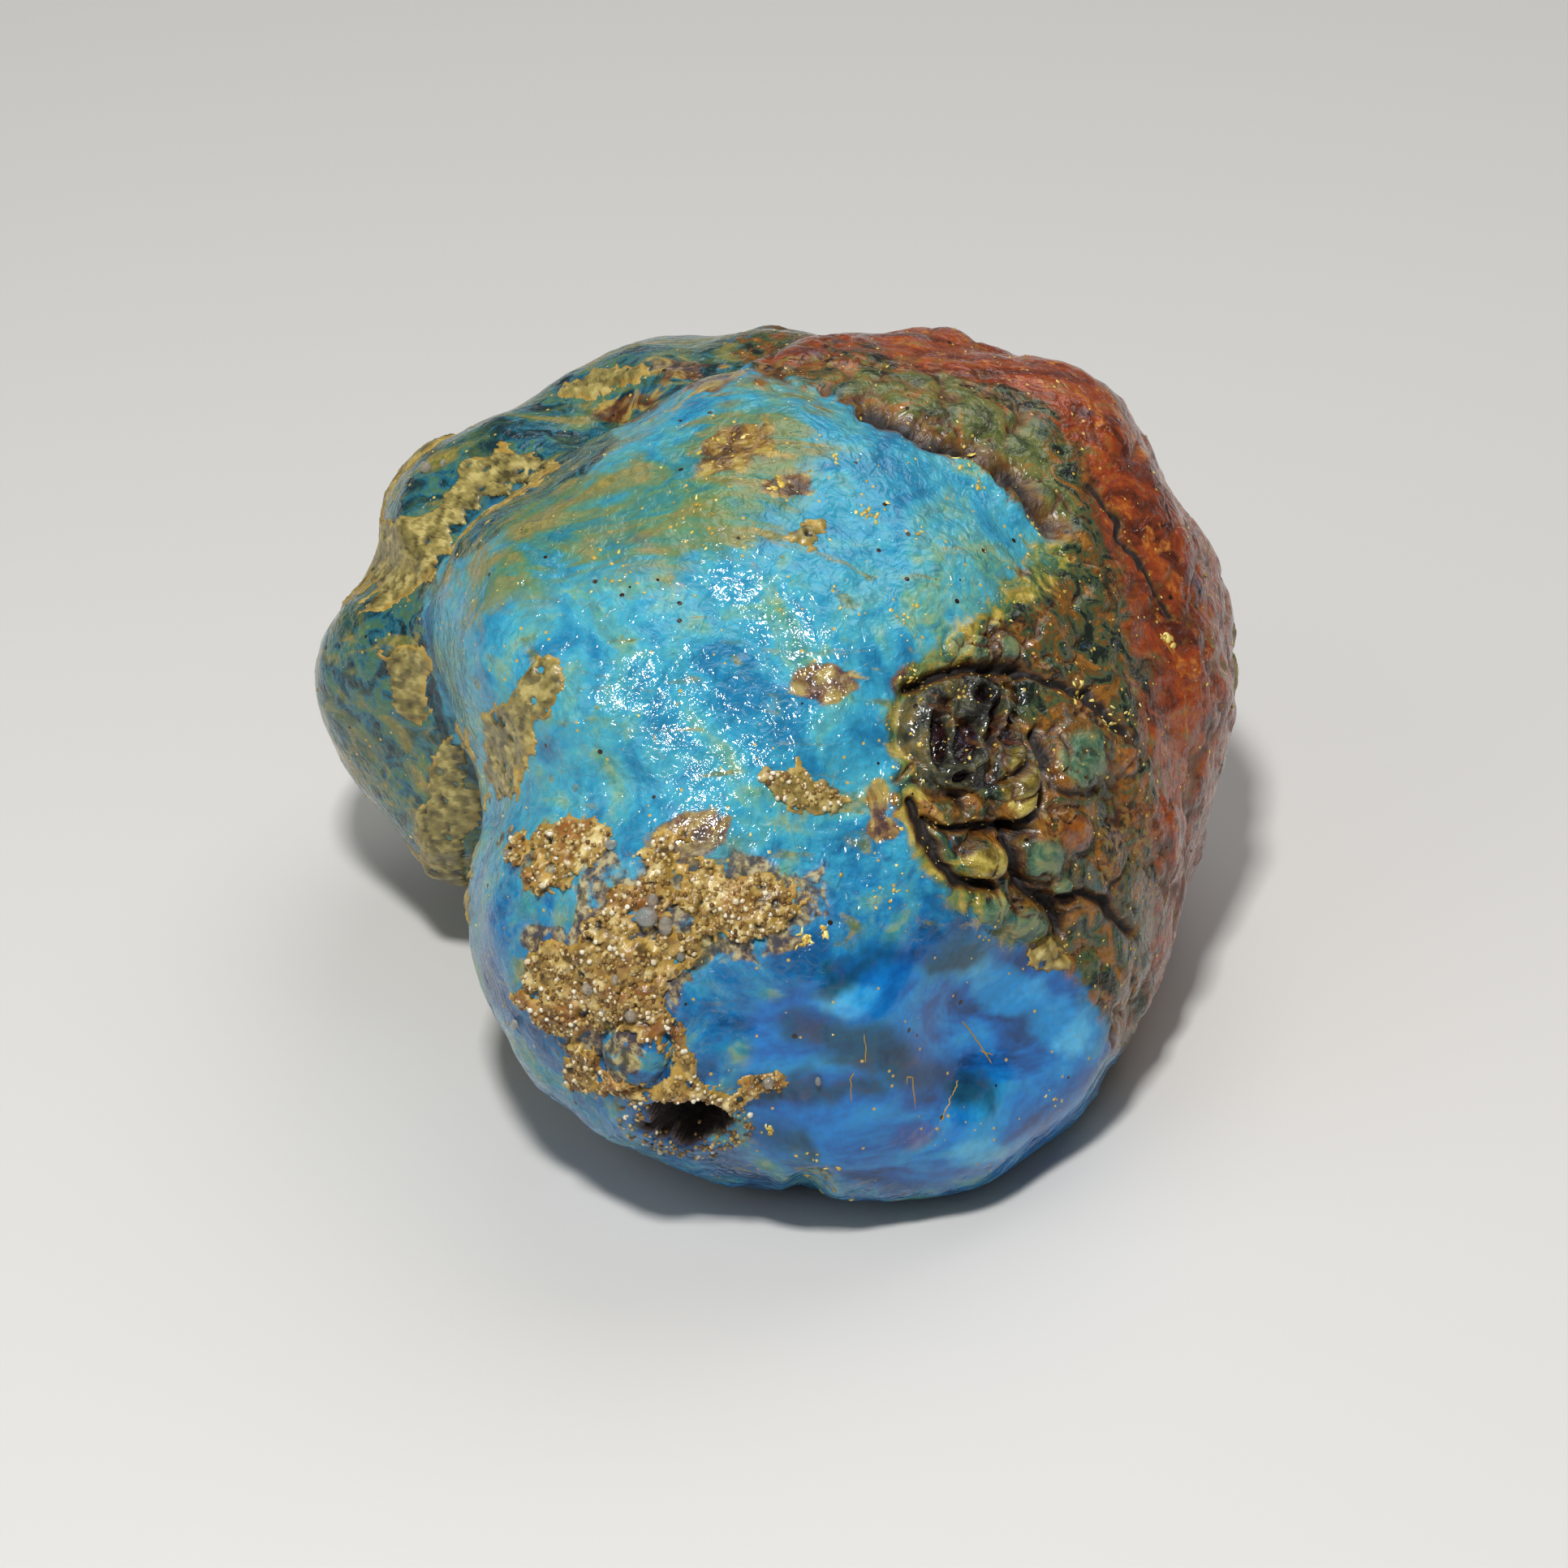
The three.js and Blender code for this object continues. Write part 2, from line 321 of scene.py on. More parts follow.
def steps(low, high, value):
    """Smooth step: 0 below low, 1 above high, and 3t squared less 2t cubed between."""
    t = np.clip((value - low) / (high - low), 0.0, 1.0)
    return t * t * (3.0 - 2.0 * t)


def unit(vectors):
    """Each row divided by its own length."""
    return vectors / np.linalg.norm(vectors, axis=-1, keepdims=True)


def hashed(cells, seed):
    """A fixed share from 0 to 1 for each cell: its numbers times large primes, with bits mixed."""
    mixed = cells[..., 0] * 73856093 ^ cells[..., 1] * 19349663 ^ cells[..., 2] * 83492791 ^ seed * 49979693
    mixed = (mixed ^ (mixed >> 13)) & 0x7FFFFFFF
    mixed = mixed * 1274126177
    return ((mixed ^ (mixed >> 16)) & 0xFFFFFF) / float(0xFFFFFF)


def ripple(points, size, seed):
    """Gradient noise, about -1 to 1, with lumps that size apart: at each of the eight corners of a point's
    cell, a fixed random slope times the way from the corner, blended by a quintic fade."""
    place = points / size
    cell = np.floor(place).astype(np.int64)
    part = place - cell
    fade = part ** 3 * (part * (part * 6.0 - 15.0) + 10.0)
    total = np.zeros(len(points))
    for corner in np.ndindex(2, 2, 2):
        at = cell + np.array(corner)
        slope = np.stack([hashed(at, seed + k) for k in (0, 101, 202)], -1) * 2.0 - 1.0
        share = np.prod(np.where(np.array(corner) == 1, fade, 1.0 - fade), -1)
        total += share * np.sum(slope * (part - np.array(corner)), -1)
    return total * 1.6


def ripples(points, size, seed, octaves=3, fade=0.5):
    """Ripples of halving size and fading height, added up."""
    return sum(fade ** k * ripple(points, size / 2.0 ** k, seed + 7 * k) for k in range(octaves))


def pebbles(points, size, seed):
    """For a scatter of one pebble in each cube of that size: the distance to the nearest pebble's middle,
    how much further the next one is, both as shares of the size, and the nearest one's own random share."""
    place = points / size
    cell = np.floor(place).astype(np.int64)
    nearest = np.full(len(points), 9.0)
    second = np.full(len(points), 9.0)
    own = np.zeros(len(points))
    for step in np.ndindex(3, 3, 3):
        at = cell + np.array(step) - 1
        middle = at + np.stack([hashed(at, seed + k) for k in (0, 101, 202)], -1)
        gap = np.linalg.norm(place - middle, axis=-1)
        closer = gap < nearest
        second = np.where(closer, nearest, np.minimum(second, gap))
        own = np.where(closer, hashed(at, seed + 303), own)
        nearest = np.minimum(nearest, gap)
    return nearest, second - nearest, own


def line_distance(px, py, line):
    """Distance in pixels to a line through several points: the least of the distances to its runs."""
    ends = np.asarray(line, float)
    start, run = ends[:-1], np.diff(ends, axis=0)
    away = np.stack([px, py], -1)[:, None, :] - start
    along = np.clip(np.sum(away * run, -1) / np.sum(run * run, -1), 0.0, 1.0)
    return np.linalg.norm(away - along[..., None] * run, axis=-1).min(-1)


def inside_distance(px, py, outline):
    """Distance in pixels to a closed outline, below zero outside it. The side comes from counting how many
    edges a level line to the right of the point crosses."""
    ends = np.asarray(outline, float)
    after = np.roll(ends, -1, axis=0)
    spans = (ends[:, 1] > py[:, None]) != (after[:, 1] > py[:, None])
    rise = np.where(after[:, 1] == ends[:, 1], 1e-9, after[:, 1] - ends[:, 1])
    crossing = ends[:, 0] + (py[:, None] - ends[:, 1]) / rise * (after[:, 0] - ends[:, 0])
    inside = np.sum(spans & (px[:, None] < crossing), -1) % 2 == 1
    reach = line_distance(px, py, np.vstack([ends, ends[:1]]))
    return np.where(inside, reach, -reach)


def oval_reach(px, py, centre, half_width, half_height, lean):
    """How far out a pixel is in a leaning oval: 0 at its centre, 1 on its edge."""
    turn = math.radians(lean)
    right, down = px - centre[0], py - centre[1]
    across = (right * math.cos(turn) - down * math.sin(turn)) / half_width
    along = (right * math.sin(turn) + down * math.cos(turn)) / half_height
    return np.hypot(across, along)


def fit_camera(corners):
    """Camera distance and aim that put the corners' outline on the photograph's: the distance is scaled by
    the width of the outline and the aim moved by its middle, again and again until they settle."""
    left, top, right, bottom = STONE_ON_PHOTO
    focal = LENS / SENSOR * PHOTO_SIDE
    distance = 380.0
    aim = corners.mean(0)
    for _ in range(30):
        away = corners - aim
        scale = focal / (distance - away @ TO_EYE)
        px = PHOTO_SIDE / 2 + away @ RIGHT * scale
        py = PHOTO_SIDE / 2 - away @ UP_VIEW * scale
        distance *= (px.max() - px.min()) / (right - left)
        off_right = (px.max() + px.min() - left - right) / 2 * distance / focal
        off_down = (py.max() + py.min() - top - bottom) / 2 * distance / focal
        aim = aim + RIGHT * off_right - UP_VIEW * off_down
    return distance, aim


def photo_place(points):
    """Pixel across, pixel down and distance towards the eye of each point, as the camera sees it."""
    away = points - CAMERA_AIM
    near = away @ TO_EYE
    scale = LENS / SENSOR * PHOTO_SIDE / (CAMERA_DISTANCE - near)
    return PHOTO_SIDE / 2 + away @ RIGHT * scale, PHOTO_SIDE / 2 - away @ UP_VIEW * scale, near


def cad_corners():
    """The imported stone's corners in millimetres, each once."""
    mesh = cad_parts[NODE].data
    flat = np.zeros(len(mesh.vertices) * 3, np.float32)
    mesh.vertices.foreach_get("co", flat)
    return np.unique(np.round(flat.reshape(-1, 3).astype(float) / MM, 4), axis=0)


def fit_reach(corners):
    """Weights of a smooth skin through the CAD corners. The reach from the heart in a direction is a
    constant, plus a slope along the direction, plus a sum of weighted cubes of the distances to every
    corner's own direction."""
    away = corners - HEART
    reach = np.linalg.norm(away, axis=1)
    ways = away / reach[:, None]
    count = len(ways)
    apart = np.maximum(2.0 - 2.0 * ways @ ways.T, 0.0)
    system = np.zeros((count + 4, count + 4))
    system[:count, :count] = apart * np.sqrt(apart)
    system[:count, count] = system[count, :count] = 1.0
    system[:count, count + 1:] = ways
    system[count + 1:, :count] = ways.T
    return ways, np.linalg.solve(system, np.concatenate([reach, np.zeros(4)]))


def skin_reach(directions):
    """The fitted reach in each direction, worked out a few thousand directions at a time."""
    ways, weights = SKIN_FIT
    count = len(ways)
    out = []
    for part in np.array_split(directions, max(1, len(directions) // 4096)):
        apart = np.maximum(2.0 - 2.0 * part @ ways.T, 0.0)
        out.append((apart * np.sqrt(apart)) @ weights[:count] + weights[count] + part @ weights[count + 1:])
    return np.concatenate(out)


def front_depths(px, py, near):
    """The nearest depth in each small square of the picture, which says what hides what."""
    depths = np.full((PHOTO_SIDE // DEPTH_SQUARE + 2,) * 2, -1e3)
    np.maximum.at(depths, ((py / DEPTH_SQUARE).astype(int), (px / DEPTH_SQUARE).astype(int)), near)
    return depths


def seen_share(px, py, near):
    """1 where a point is in the camera's sight, 0 where it is some millimetres behind what is."""
    row = np.clip((py / DEPTH_SQUARE).astype(int), 0, len(FRONT_DEPTHS) - 1)
    column = np.clip((px / DEPTH_SQUARE).astype(int), 0, len(FRONT_DEPTHS) - 1)
    return 1.0 - steps(4.0, 8.0, FRONT_DEPTHS[row, column] - near)


def ovals(px, py, spots, uneven):
    """The greatest share that any of several ovals gives a pixel: 1 at a centre, 0 on an uneven edge."""
    out = np.min([oval_reach(px, py, *spot) for spot in spots], axis=0)
    return steps(1.15, 0.35, out + 0.4 * uneven)


def read_zones(base):
    """The shares that the relief and the colours are mixed by, for points of the smooth skin: which flow of
    the stone a point is on, with edges made uneven by ripples."""
    px, py, near = photo_place(base)
    seen = seen_share(px, py, near)
    facing = steps(-0.12, 0.12, unit(base - HEART) @ TO_EYE)
    uneven = ripples(base, 4.0, 11, 3)
    ragged = uneven * RAGGED
    zones = {name: steps(low, high, inside_distance(px, py, edge) + ragged * wander) * seen
             for name, (edge, low, high, wander) in SEEN_ZONES.items()}
    for name, (front, behind, soft) in ROUND_ZONES.items():
        edge_front = steps(-soft, soft, inside_distance(px, py, front) + ragged)
        edge_behind = steps(-soft * 2.0, soft * 2.0, inside_distance(px, py, behind) + ragged * 2.0)
        zones[name] = facing * edge_front + (1.0 - facing) * edge_behind
    zones["shoulder"] = np.maximum(zones["shoulder"], (1.0 - facing) * (1.0 - zones["flank"]))
    zones["film"] = np.maximum(zones["film"], (1.0 - facing) * FILM_BEHIND)
    zones["deep"] = facing * steps(*DEEP_BLUE, py + ragged) + (1.0 - facing) * 0.5
    # Dark bands across the window; the one under the brow is painted shadow
    smoke_and_shadow = np.max([np.exp(-(line_distance(px + ragged, py + ragged, line) / width / 1.7) ** 2)
                    for line, width in SMOKE_AND_SHADOW.values()], axis=0)
    zones["smoke_and_shadow"] = smoke_and_shadow * zones["window"]
    zones["glow"] = ovals(px, py, GLOW_SPOTS, uneven) * zones["window"]
    zones["violet"] = ovals(px, py, VIOLET_SPOTS, uneven) * zones["window"]
    zones["rust"] = ovals(px, py, RUST_SPOTS, uneven) * seen
    for tint, names in TINTED_KNOBS.items():
        zones[tint] = ovals(px, py, [KNOBS[name][:4] for name in names], uneven * 0.4) * seen
    off_fringe = line_distance(px, py, FRINGE) + ragged * 0.6
    zones["fringe"] = np.exp(-(off_fringe / FRINGE_WIDTH) ** 2) * seen
    zones["bud"] = steps(1.1, 0.94, oval_reach(px, py, *KNOBS["bud_body"][:4]) + uneven * 0.1) * seen
    return {"px": px, "py": py, "seen": seen, "uneven": uneven, **zones}


def relief(base, zones):
    """Height of the fine skin over the smooth one, and the shares that it adds for the colours: low waves
    all over, cobbles with cracks between them on the flank, knobs, a bud with pockets, sandy grains, and
    what is cut in."""
    px, py, seen, flank = zones["px"], zones["py"], zones["seen"], zones["flank"]
    calm = 1.0 - 0.85 * zones["window"]
    height = calm * sum(rise * ripple(base, size, seed) for rise, size, seed in WAVES)

    # Cobbled flank: low domes 3 mm apart, parted here and there by narrow cracks
    bent = base + 0.9 * np.stack([ripple(base, 2.2, 31 + k) for k in range(3)], -1)
    middle, parting, own = pebbles(bent, 3.3, 41)
    small, _, small_own = pebbles(bent + 0.3, 1.5, 43)
    dome = 0.40 * (1.0 - np.minimum(middle / 0.8, 1.0) ** 2) * (0.4 + own)
    dome = dome + 0.14 * (1.0 - np.minimum(small / 0.8, 1.0) ** 2) * (0.2 + small_own)
    seam = steps(0.15, 0.0, parting) * steps(0.35, 0.75, own + 0.5 * zones["uneven"])
    cobbled = flank * (1.0 - 0.4 * zones["rind"])
    height += cobbled * (dome - 0.35 * seam)
    # The crack share gathers seams, moats, cracks, the groove and the cavity; the colours paint it near
    # black, partly as brown stain and partly as painted shade in these creases
    crack = cobbled * seam * 0.7

    # Knobs and nodules, each a half oval ball in a broken moat
    broken = steps(-0.35, 0.35, ripple(base, 2.0, 53))
    for centre, half_width, half_height, lean, rise in KNOBS.values():
        out = oval_reach(px, py, centre, half_width, half_height, lean) + 0.10 * ripple(base, 1.8, 51)
        moat = np.exp(-((out - KNOB_MOAT) / MOAT_WIDTH) ** 2) * broken
        height += seen * rise * (np.sqrt(np.clip(1.0 - out ** 2, 0.0, 1.0)) - 0.5 * moat)
        crack = np.maximum(crack, seen * flank * 0.75 * moat)

    # Pockets of the bud: pits with raised rims, and thin wrinkles between them
    pocket = np.zeros(len(base))
    for centre, half_width, half_height, lean, depth in POCKETS.values():
        out = oval_reach(px, py, centre, half_width, half_height, lean) + 0.16 * ripple(base, 1.0, 61)
        pit = steps(1.05, 0.45, out) * seen
        raised = POCKET_RIM_HEIGHT * np.exp(-((out - POCKET_RIM) / POCKET_RIM_WIDTH) ** 2)
        height += raised * zones["bud"] - depth * pit
        # The pits go into the pocket share, which the colours paint near black, partly their own maroon and
        # partly painted shade
        pocket = np.maximum(pocket, pit)
    wrinkle = np.abs(np.sin((px - 0.35 * py) / WRINKLE_PITCH + 2.2 * ripple(base, 1.8, 63)))
    height += zones["bud"] * (1.0 - pocket) * WRINKLE_HEIGHT * (np.sqrt(wrinkle) - 0.7)

    # Cracks, and the groove behind the blue top
    wander = ripples(base, 1.6, 71, 2) * 5.0
    for line, width, depth in CRACKS.values():
        gap = (line_distance(px + wander, py - wander, line) * PIXEL / width) ** 2
        height -= seen * depth * np.exp(-gap)
        crack = np.maximum(crack, seen * np.exp(-gap * 0.8))
    groove = line_distance(px + wander, py + wander, DARK_GROOVE) / GROOVE_WIDTH
    groove = np.exp(-groove ** 2) * seen * (0.6 + 0.4 * broken)
    height -= GROOVE_DEPTH * groove
    crack = np.maximum(crack, groove)

    # Cemented sand on the lower front: grains on uneven ground
    grain, _, grain_own = pebbles(base, 0.75, 81)
    ground = 0.26 * ripple(base, 1.9, 82)
    height += zones["sand"] * (0.26 * (1.0 - np.minimum(grain, 1.0) ** 2) * grain_own + ground)

    # The cavity and the notch at the toe
    out = oval_reach(px, py, *CAVITY[:4]) + 0.30 * ripples(base, 1.7, 91, 2)
    height -= CAVITY[4] * steps(1.05, 0.5, out) * seen
    # The cavity's inside joins the crack share and is painted dark, partly brown stain and partly painted
    # shade in the hole
    crack = np.maximum(crack, steps(1.04, 0.86, out) * seen)
    height -= TOE_NOTCH[4] * steps(1.0, 0.2, oval_reach(px, py, *TOE_NOTCH[:4])) * seen
    fade = steps(0.0, REST_FADE, base[:, 2])
    return height * fade, {"crack": np.clip(crack, 0.0, 1.0), "pocket": pocket}


def skin(directions):
    """Points of the fine skin in the given directions from the heart, and their zones."""
    base = HEART + directions * skin_reach(directions)[:, None]
    zones = read_zones(base)
    height, added = relief(base, zones)
    points = base + directions * height[:, None]
    points[:, 2] = np.maximum(points[:, 2], 0.0)
    return points, {**zones, **added}


def ball_grid(cells):
    """Directions and four-cornered faces of a ball: each side of a cube is a square grid at equal angles,
    pushed out to the ball, and corners that two sides share are joined. Then the ball is drawn towards one
    side by scaling the half angle's tangent, which sets corners closer together there."""
    lean = np.tan(np.linspace(-math.pi / 4, math.pi / 4, cells + 1))
    u, v = np.meshgrid(lean, lean, indexing="ij")
    sides = []
    for axis in range(3):
        for sign in (1.0, -1.0):
            side = np.empty((cells + 1, cells + 1, 3))
            side[..., axis] = sign
            side[..., (axis + 1) % 3] = u * sign
            side[..., (axis + 2) % 3] = v
            sides.append(side.reshape(-1, 3))
    corners, places = np.unique(np.round(unit(np.concatenate(sides)), 7), axis=0, return_inverse=True)
    grid = places.reshape(6, cells + 1, cells + 1)
    round_cell = [grid[:, :-1, :-1], grid[:, 1:, :-1], grid[:, 1:, 1:], grid[:, :-1, 1:]]
    faces = np.stack(round_cell, -1).reshape(-1, 4)
    towards = unit(CLOSE_LOOK_AT @ np.stack([RIGHT, UP_VIEW, TO_EYE]))
    along = unit(corners) @ towards
    sideways = unit(corners) - along[:, None] * towards
    spread = np.linalg.norm(sideways, axis=1)
    tangent = spread / np.maximum(1.0 + along, 1e-9) / CLOSE_LOOK
    drawn = (1.0 - tangent ** 2) / (1.0 + tangent ** 2)
    out = 2.0 * tangent / (1.0 + tangent ** 2) / np.maximum(spread, 1e-9)
    return unit(drawn[:, None] * towards + out[:, None] * sideways), faces


def put_mesh(name, points, faces, material, shares=None):
    """Puts points in millimetres into a new smooth mesh, with shares as attributes, riding the stone."""
    mesh = bpy.data.meshes.new(name)
    mesh.from_pydata((points * MM).tolist(), [], faces.tolist())
    for key, values in (shares or {}).items():
        layer = mesh.attributes.new(key, "FLOAT", "POINT")
        layer.data.foreach_set("value", np.ascontiguousarray(values, np.float32))
    mesh.materials.append(material)
    mesh.shade_smooth()
    piece = bpy.data.objects.new(name, mesh)
    bpy.context.scene.collection.objects.link(piece)
    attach(piece, BODY)
    return piece


def grid_over(within, pitch):
    """Directions of a square grid that covers the named corners of the skin, with its own corners a pitch
    apart: the heart looks at their middle, and the grid stands square to that look. Also gives the grid's
    rows and columns."""
    ways = SKIN["ways"][within]
    ahead = unit(ways.mean(0))
    side = unit(np.cross([0.0, 0.0, 1.0], ahead))
    up = np.cross(ahead, side)
    across, along = ways @ side / (ways @ ahead), ways @ up / (ways @ ahead)
    step = pitch / np.linalg.norm(SKIN["points"][within] - HEART, axis=1).mean()
    columns = np.arange(across.min(), across.max(), step)
    rows = np.arange(along.min(), along.max(), step)
    u, v = np.meshgrid(columns, rows, indexing="ij")
    return unit(ahead + u[..., None] * side + v[..., None] * up).reshape(-1, 3), u.shape


def shell(top, bottom, keep):
    """Closes the kept part of a square grid into a thin solid: quads whose four corners are kept on top,
    the same turned over below, and a wall under each edge that only one quad has. Corners that touch only
    across a diagonal are filled in first. Also gives which grid corners the solid uses."""
    cell = keep[:-1, :-1] & keep[1:, :-1] & keep[1:, 1:] & keep[:-1, 1:]
    for _ in range(3):
        cell[1:, :-1] |= cell[:-1, :-1] & cell[1:, 1:] & ~cell[:-1, 1:]
        cell[1:, 1:] |= cell[:-1, 1:] & cell[1:, :-1] & ~cell[:-1, :-1]
    places = np.arange(keep.size).reshape(keep.shape)
    quads = np.stack([places[:-1, :-1], places[1:, :-1], places[1:, 1:], places[:-1, 1:]], -1)[cell]
    used, packed = np.unique(quads, return_inverse=True)
    quads = packed.reshape(-1, 4)
    count = len(used)
    edges = np.stack([quads, np.roll(quads, -1, axis=1)], -1).reshape(-1, 2)
    rim = edges[~np.isin(edges[:, 0] * count + edges[:, 1], edges[:, 1] * count + edges[:, 0])]
    walls = np.stack([rim[:, 1], rim[:, 0], rim[:, 0] + count, rim[:, 1] + count], -1)
    faces = np.concatenate([quads, quads[:, ::-1] + count, walls])
    return np.concatenate([top[used], bottom[used]]), faces, used


def patch_edge(points, zones, patch):
    """Millimetres inside a patch's edge, below zero outside: a line of pixels on the side in sight, or else
    a round spot, given by its middle and radius."""
    if isinstance(patch, list):
        inside = inside_distance(zones["px"], zones["py"], patch) * PIXEL
        return np.where(zones["seen"] > 0.5, inside, -9.0)
    middle, radius = patch
    return radius - np.linalg.norm(points - middle, axis=1) + 0.5 * radius * ripples(points, 6.0, 161, 2)


def sand_crust(name, patch, thickness, grain_height, grain_size, material):
    """A ragged shell of cemented sand. Its top stands over the skin by the thickness, rounded off at the
    rim, plus domed grains, less pores, and its bottom lies under the skin. The rim is the patch's edge,
    moved in and out by ripples. Gives the points of its top, for loose grains to lie on."""
    ways, shape = grid_over(patch_edge(SKIN["points"], SKIN, patch) > -1.6, CRUST_PITCH)
    ground, zones = skin(ways)
    lacy = steps(0.1, 0.2, grain_height)
    edge = np.minimum(patch_edge(ground, zones, patch) + 0.25, 1.15 - 0.55 * lacy)
    edge = edge + (0.42 + 2.2 * grain_height) * ripples(ground, 2.2, 111, 4, 0.6)
    rim = steps(0.0, CRUST_ROUNDING, edge)
    grain, _, own = pebbles(ground, grain_size, 121)
    pit, _, _ = pebbles(ground, PORE_SPACING, 131)
    pore = steps(0.30, 0.17, pit) * steps(0.1, 0.5, edge)
    height = thickness * rim * (0.8 + 0.35 * ripple(ground, 2.0, 141))
    height = height + grain_height * rim * (1.0 - np.minimum(grain, 1.0) ** 2) * (0.4 + own)
    height = height - PORE_DEPTH * pore
    keep = (edge > 0.0).reshape(shape)
    points, faces, used = shell(ground + ways * height[:, None], ground - ways * CRUST_ROOT, keep)
    shares = {"pore": np.tile(pore[used], 2), "rim": np.tile(rim[used], 2), "grain": np.tile(own[used], 2),
              "golden": np.full(2 * len(used), lacy)}
    put_mesh(name, points, faces, material, shares)
    return points[:len(used)][edge[used] > 0.25]


def ball_pattern(around, rings):
    """Corners and three-sided faces of a ball: rings of corners about the z axis, and two poles."""
    turn = np.arange(around) * 2.0 * math.pi / around
    tilt = (np.arange(rings) + 1.0) * math.pi / (rings + 1.0)
    ring = np.stack([np.outer(np.sin(tilt), np.cos(turn)), np.outer(np.sin(tilt), np.sin(turn)),
                     np.outer(np.cos(tilt), np.ones(around))], -1).reshape(-1, 3)
    corners = np.vstack([[0.0, 0.0, 1.0], ring, [0.0, 0.0, -1.0]])
    here = np.arange(around)
    after = (here + 1) % around
    last = 1 + (rings - 1) * around
    top = np.stack([0 * here, 1 + here, 1 + after], -1)
    bottom = np.stack([0 * here + len(corners) - 1, last + after, last + here], -1)
    row = 1 + np.arange(rings - 1)[:, None] * around
    lower = np.stack([row + here, row + around + here, row + around + after], -1).reshape(-1, 3)
    upper = np.stack([row + here, row + around + after, row + after], -1).reshape(-1, 3)
    return corners, np.concatenate([top, lower, upper, bottom])


def repeated(shapes, faces):
    """Many like shapes, an array of each one's corners, as one list of points and one of faces."""
    count, corners = shapes.shape[:2]
    return shapes.reshape(-1, 3), (faces + np.arange(count)[:, None, None] * corners).reshape(-1, 3)


def grains(name, places, sizes, material, seed, around=6, rings=3, wobble=0.2):
    """Loose grains: balls stretched at random along each axis, each corner moved in or out at random."""
    chance = np.random.default_rng(seed)
    corners, faces = ball_pattern(around, rings)
    stretch = chance.uniform(0.75, 1.2, (len(places), 1, 3)) * sizes[:, None, None] / 2.0
    rough = 1.0 + chance.uniform(-wobble, wobble, (len(places), len(corners), 1))
    points, joined = repeated(places[:, None, :] + corners * stretch * rough, faces)
    tint = np.repeat(chance.random(len(places)), len(corners))
    return put_mesh(name, points, joined, material, {"tint": tint})


def flakes(name, places, outward, sizes, material, seed):
    """Thin flakes lying on the skin: ragged plates of eight corners, square to the outward way."""
    chance = np.random.default_rng(seed)
    count, sides = len(places), 8
    turn = np.arange(sides) * 2.0 * math.pi / sides + chance.uniform(0.0, 6.0, (count, 1))
    reach = chance.uniform(0.35, 1.0, (count, sides)) * sizes[:, None] / 2.0
    long = chance.uniform(0.35, 1.0, (count, 1))
    lean = unit(outward + chance.normal(0.0, 0.16, outward.shape))
    side = unit(np.cross(lean, chance.normal(0.0, 1.0, outward.shape)))
    up = np.cross(lean, side)
    ring = places[:, None, :] + (reach * np.cos(turn))[..., None] * side[:, None, :]
    ring = ring + (reach * np.sin(turn) * long)[..., None] * up[:, None, :]
    rise = FLAKE_THICKNESS * lean[:, None, :]
    middle = places[:, None, :]
    shapes = np.concatenate([ring + rise, ring - rise, middle + 1.6 * rise, middle - rise], 1)
    here = np.arange(sides)
    after = (here + 1) % sides
    faces = np.concatenate([np.stack([0 * here + 2 * sides, here, after], -1),
                            np.stack([0 * here + 2 * sides + 1, sides + after, sides + here], -1),
                            np.stack([here, sides + here, sides + after], -1),
                            np.stack([here, sides + after, after], -1)])
    points, joined = repeated(shapes, faces)
    tint = np.repeat(chance.random(count), shapes.shape[1])
    return put_mesh(name, points, joined, material, {"tint": tint})


def corner_normals(points, faces):
    """The outward way at each corner: the sum of the lies of the four-cornered faces that meet there."""
    lie = np.cross(points[faces[:, 2]] - points[faces[:, 0]], points[faces[:, 3]] - points[faces[:, 1]])
    total = np.zeros_like(points)
    for k in range(4):
        np.add.at(total, faces[:, k], lie)
    return unit(total)


def on_skin(pixels):
    """Where the given pixels show on the skin: each is carried along its line of sight to the depth of the
    nearest corner in sight, and from there straight away from the heart. Gives the ways from the heart and
    the normals."""
    pixels = np.asarray(pixels, float)
    seen = np.flatnonzero((SKIN["seen"] > 0.5) & (SKIN["normals"] @ TO_EYE > 0.0))
    spots = np.stack([SKIN["px"], SKIN["py"]], -1)[seen]
    nearest = seen[[np.argmin(np.sum((spots - pixel) ** 2, -1)) for pixel in pixels]]
    near = photo_place(SKIN["points"][nearest])[2]
    scale = (CAMERA_DISTANCE - near) / (LENS / SENSOR * PHOTO_SIDE)
    right = (pixels[:, 0] - PHOTO_SIDE / 2) * scale
    up = (PHOTO_SIDE / 2 - pixels[:, 1]) * scale
    at = CAMERA_AIM + right[:, None] * RIGHT + up[:, None] * UP_VIEW + near[:, None] * TO_EYE
    return unit(at - HEART), SKIN["normals"][nearest]


def tube(path, radius, sides=6):
    """A round thread along a path, its section carried along it and drawn in to a point at each end."""
    along = unit(np.gradient(path, axis=0))
    side = unit(np.cross(along, TO_EYE))
    up = np.cross(along, side)
    count = len(path)
    thick = radius * np.sqrt(np.clip(1.0 - np.linspace(-1.0, 1.0, count) ** 6, 0.0, 1.0))
    turn = np.arange(sides) * 2.0 * math.pi / sides
    ring = path[:, None, :] + thick[:, None, None] * (np.cos(turn)[:, None] * side[:, None, :]
                                                      + np.sin(turn)[:, None] * up[:, None, :])
    points = np.vstack([path[:1], ring[1:-1].reshape(-1, 3), path[-1:]])
    here = np.arange(sides)
    after = (here + 1) % sides
    row = 1 + np.arange(count - 3)[:, None] * sides
    last = 1 + (count - 3) * sides
    start = np.stack([0 * here, 1 + after, 1 + here], -1)
    lower = np.stack([row + here, row + after, row + sides + after], -1).reshape(-1, 3)
    upper = np.stack([row + here, row + sides + after, row + sides + here], -1).reshape(-1, 3)
    end = np.stack([0 * here + len(points) - 1, last + here, last + after], -1)
    return points, np.concatenate([start, lower, upper, end])


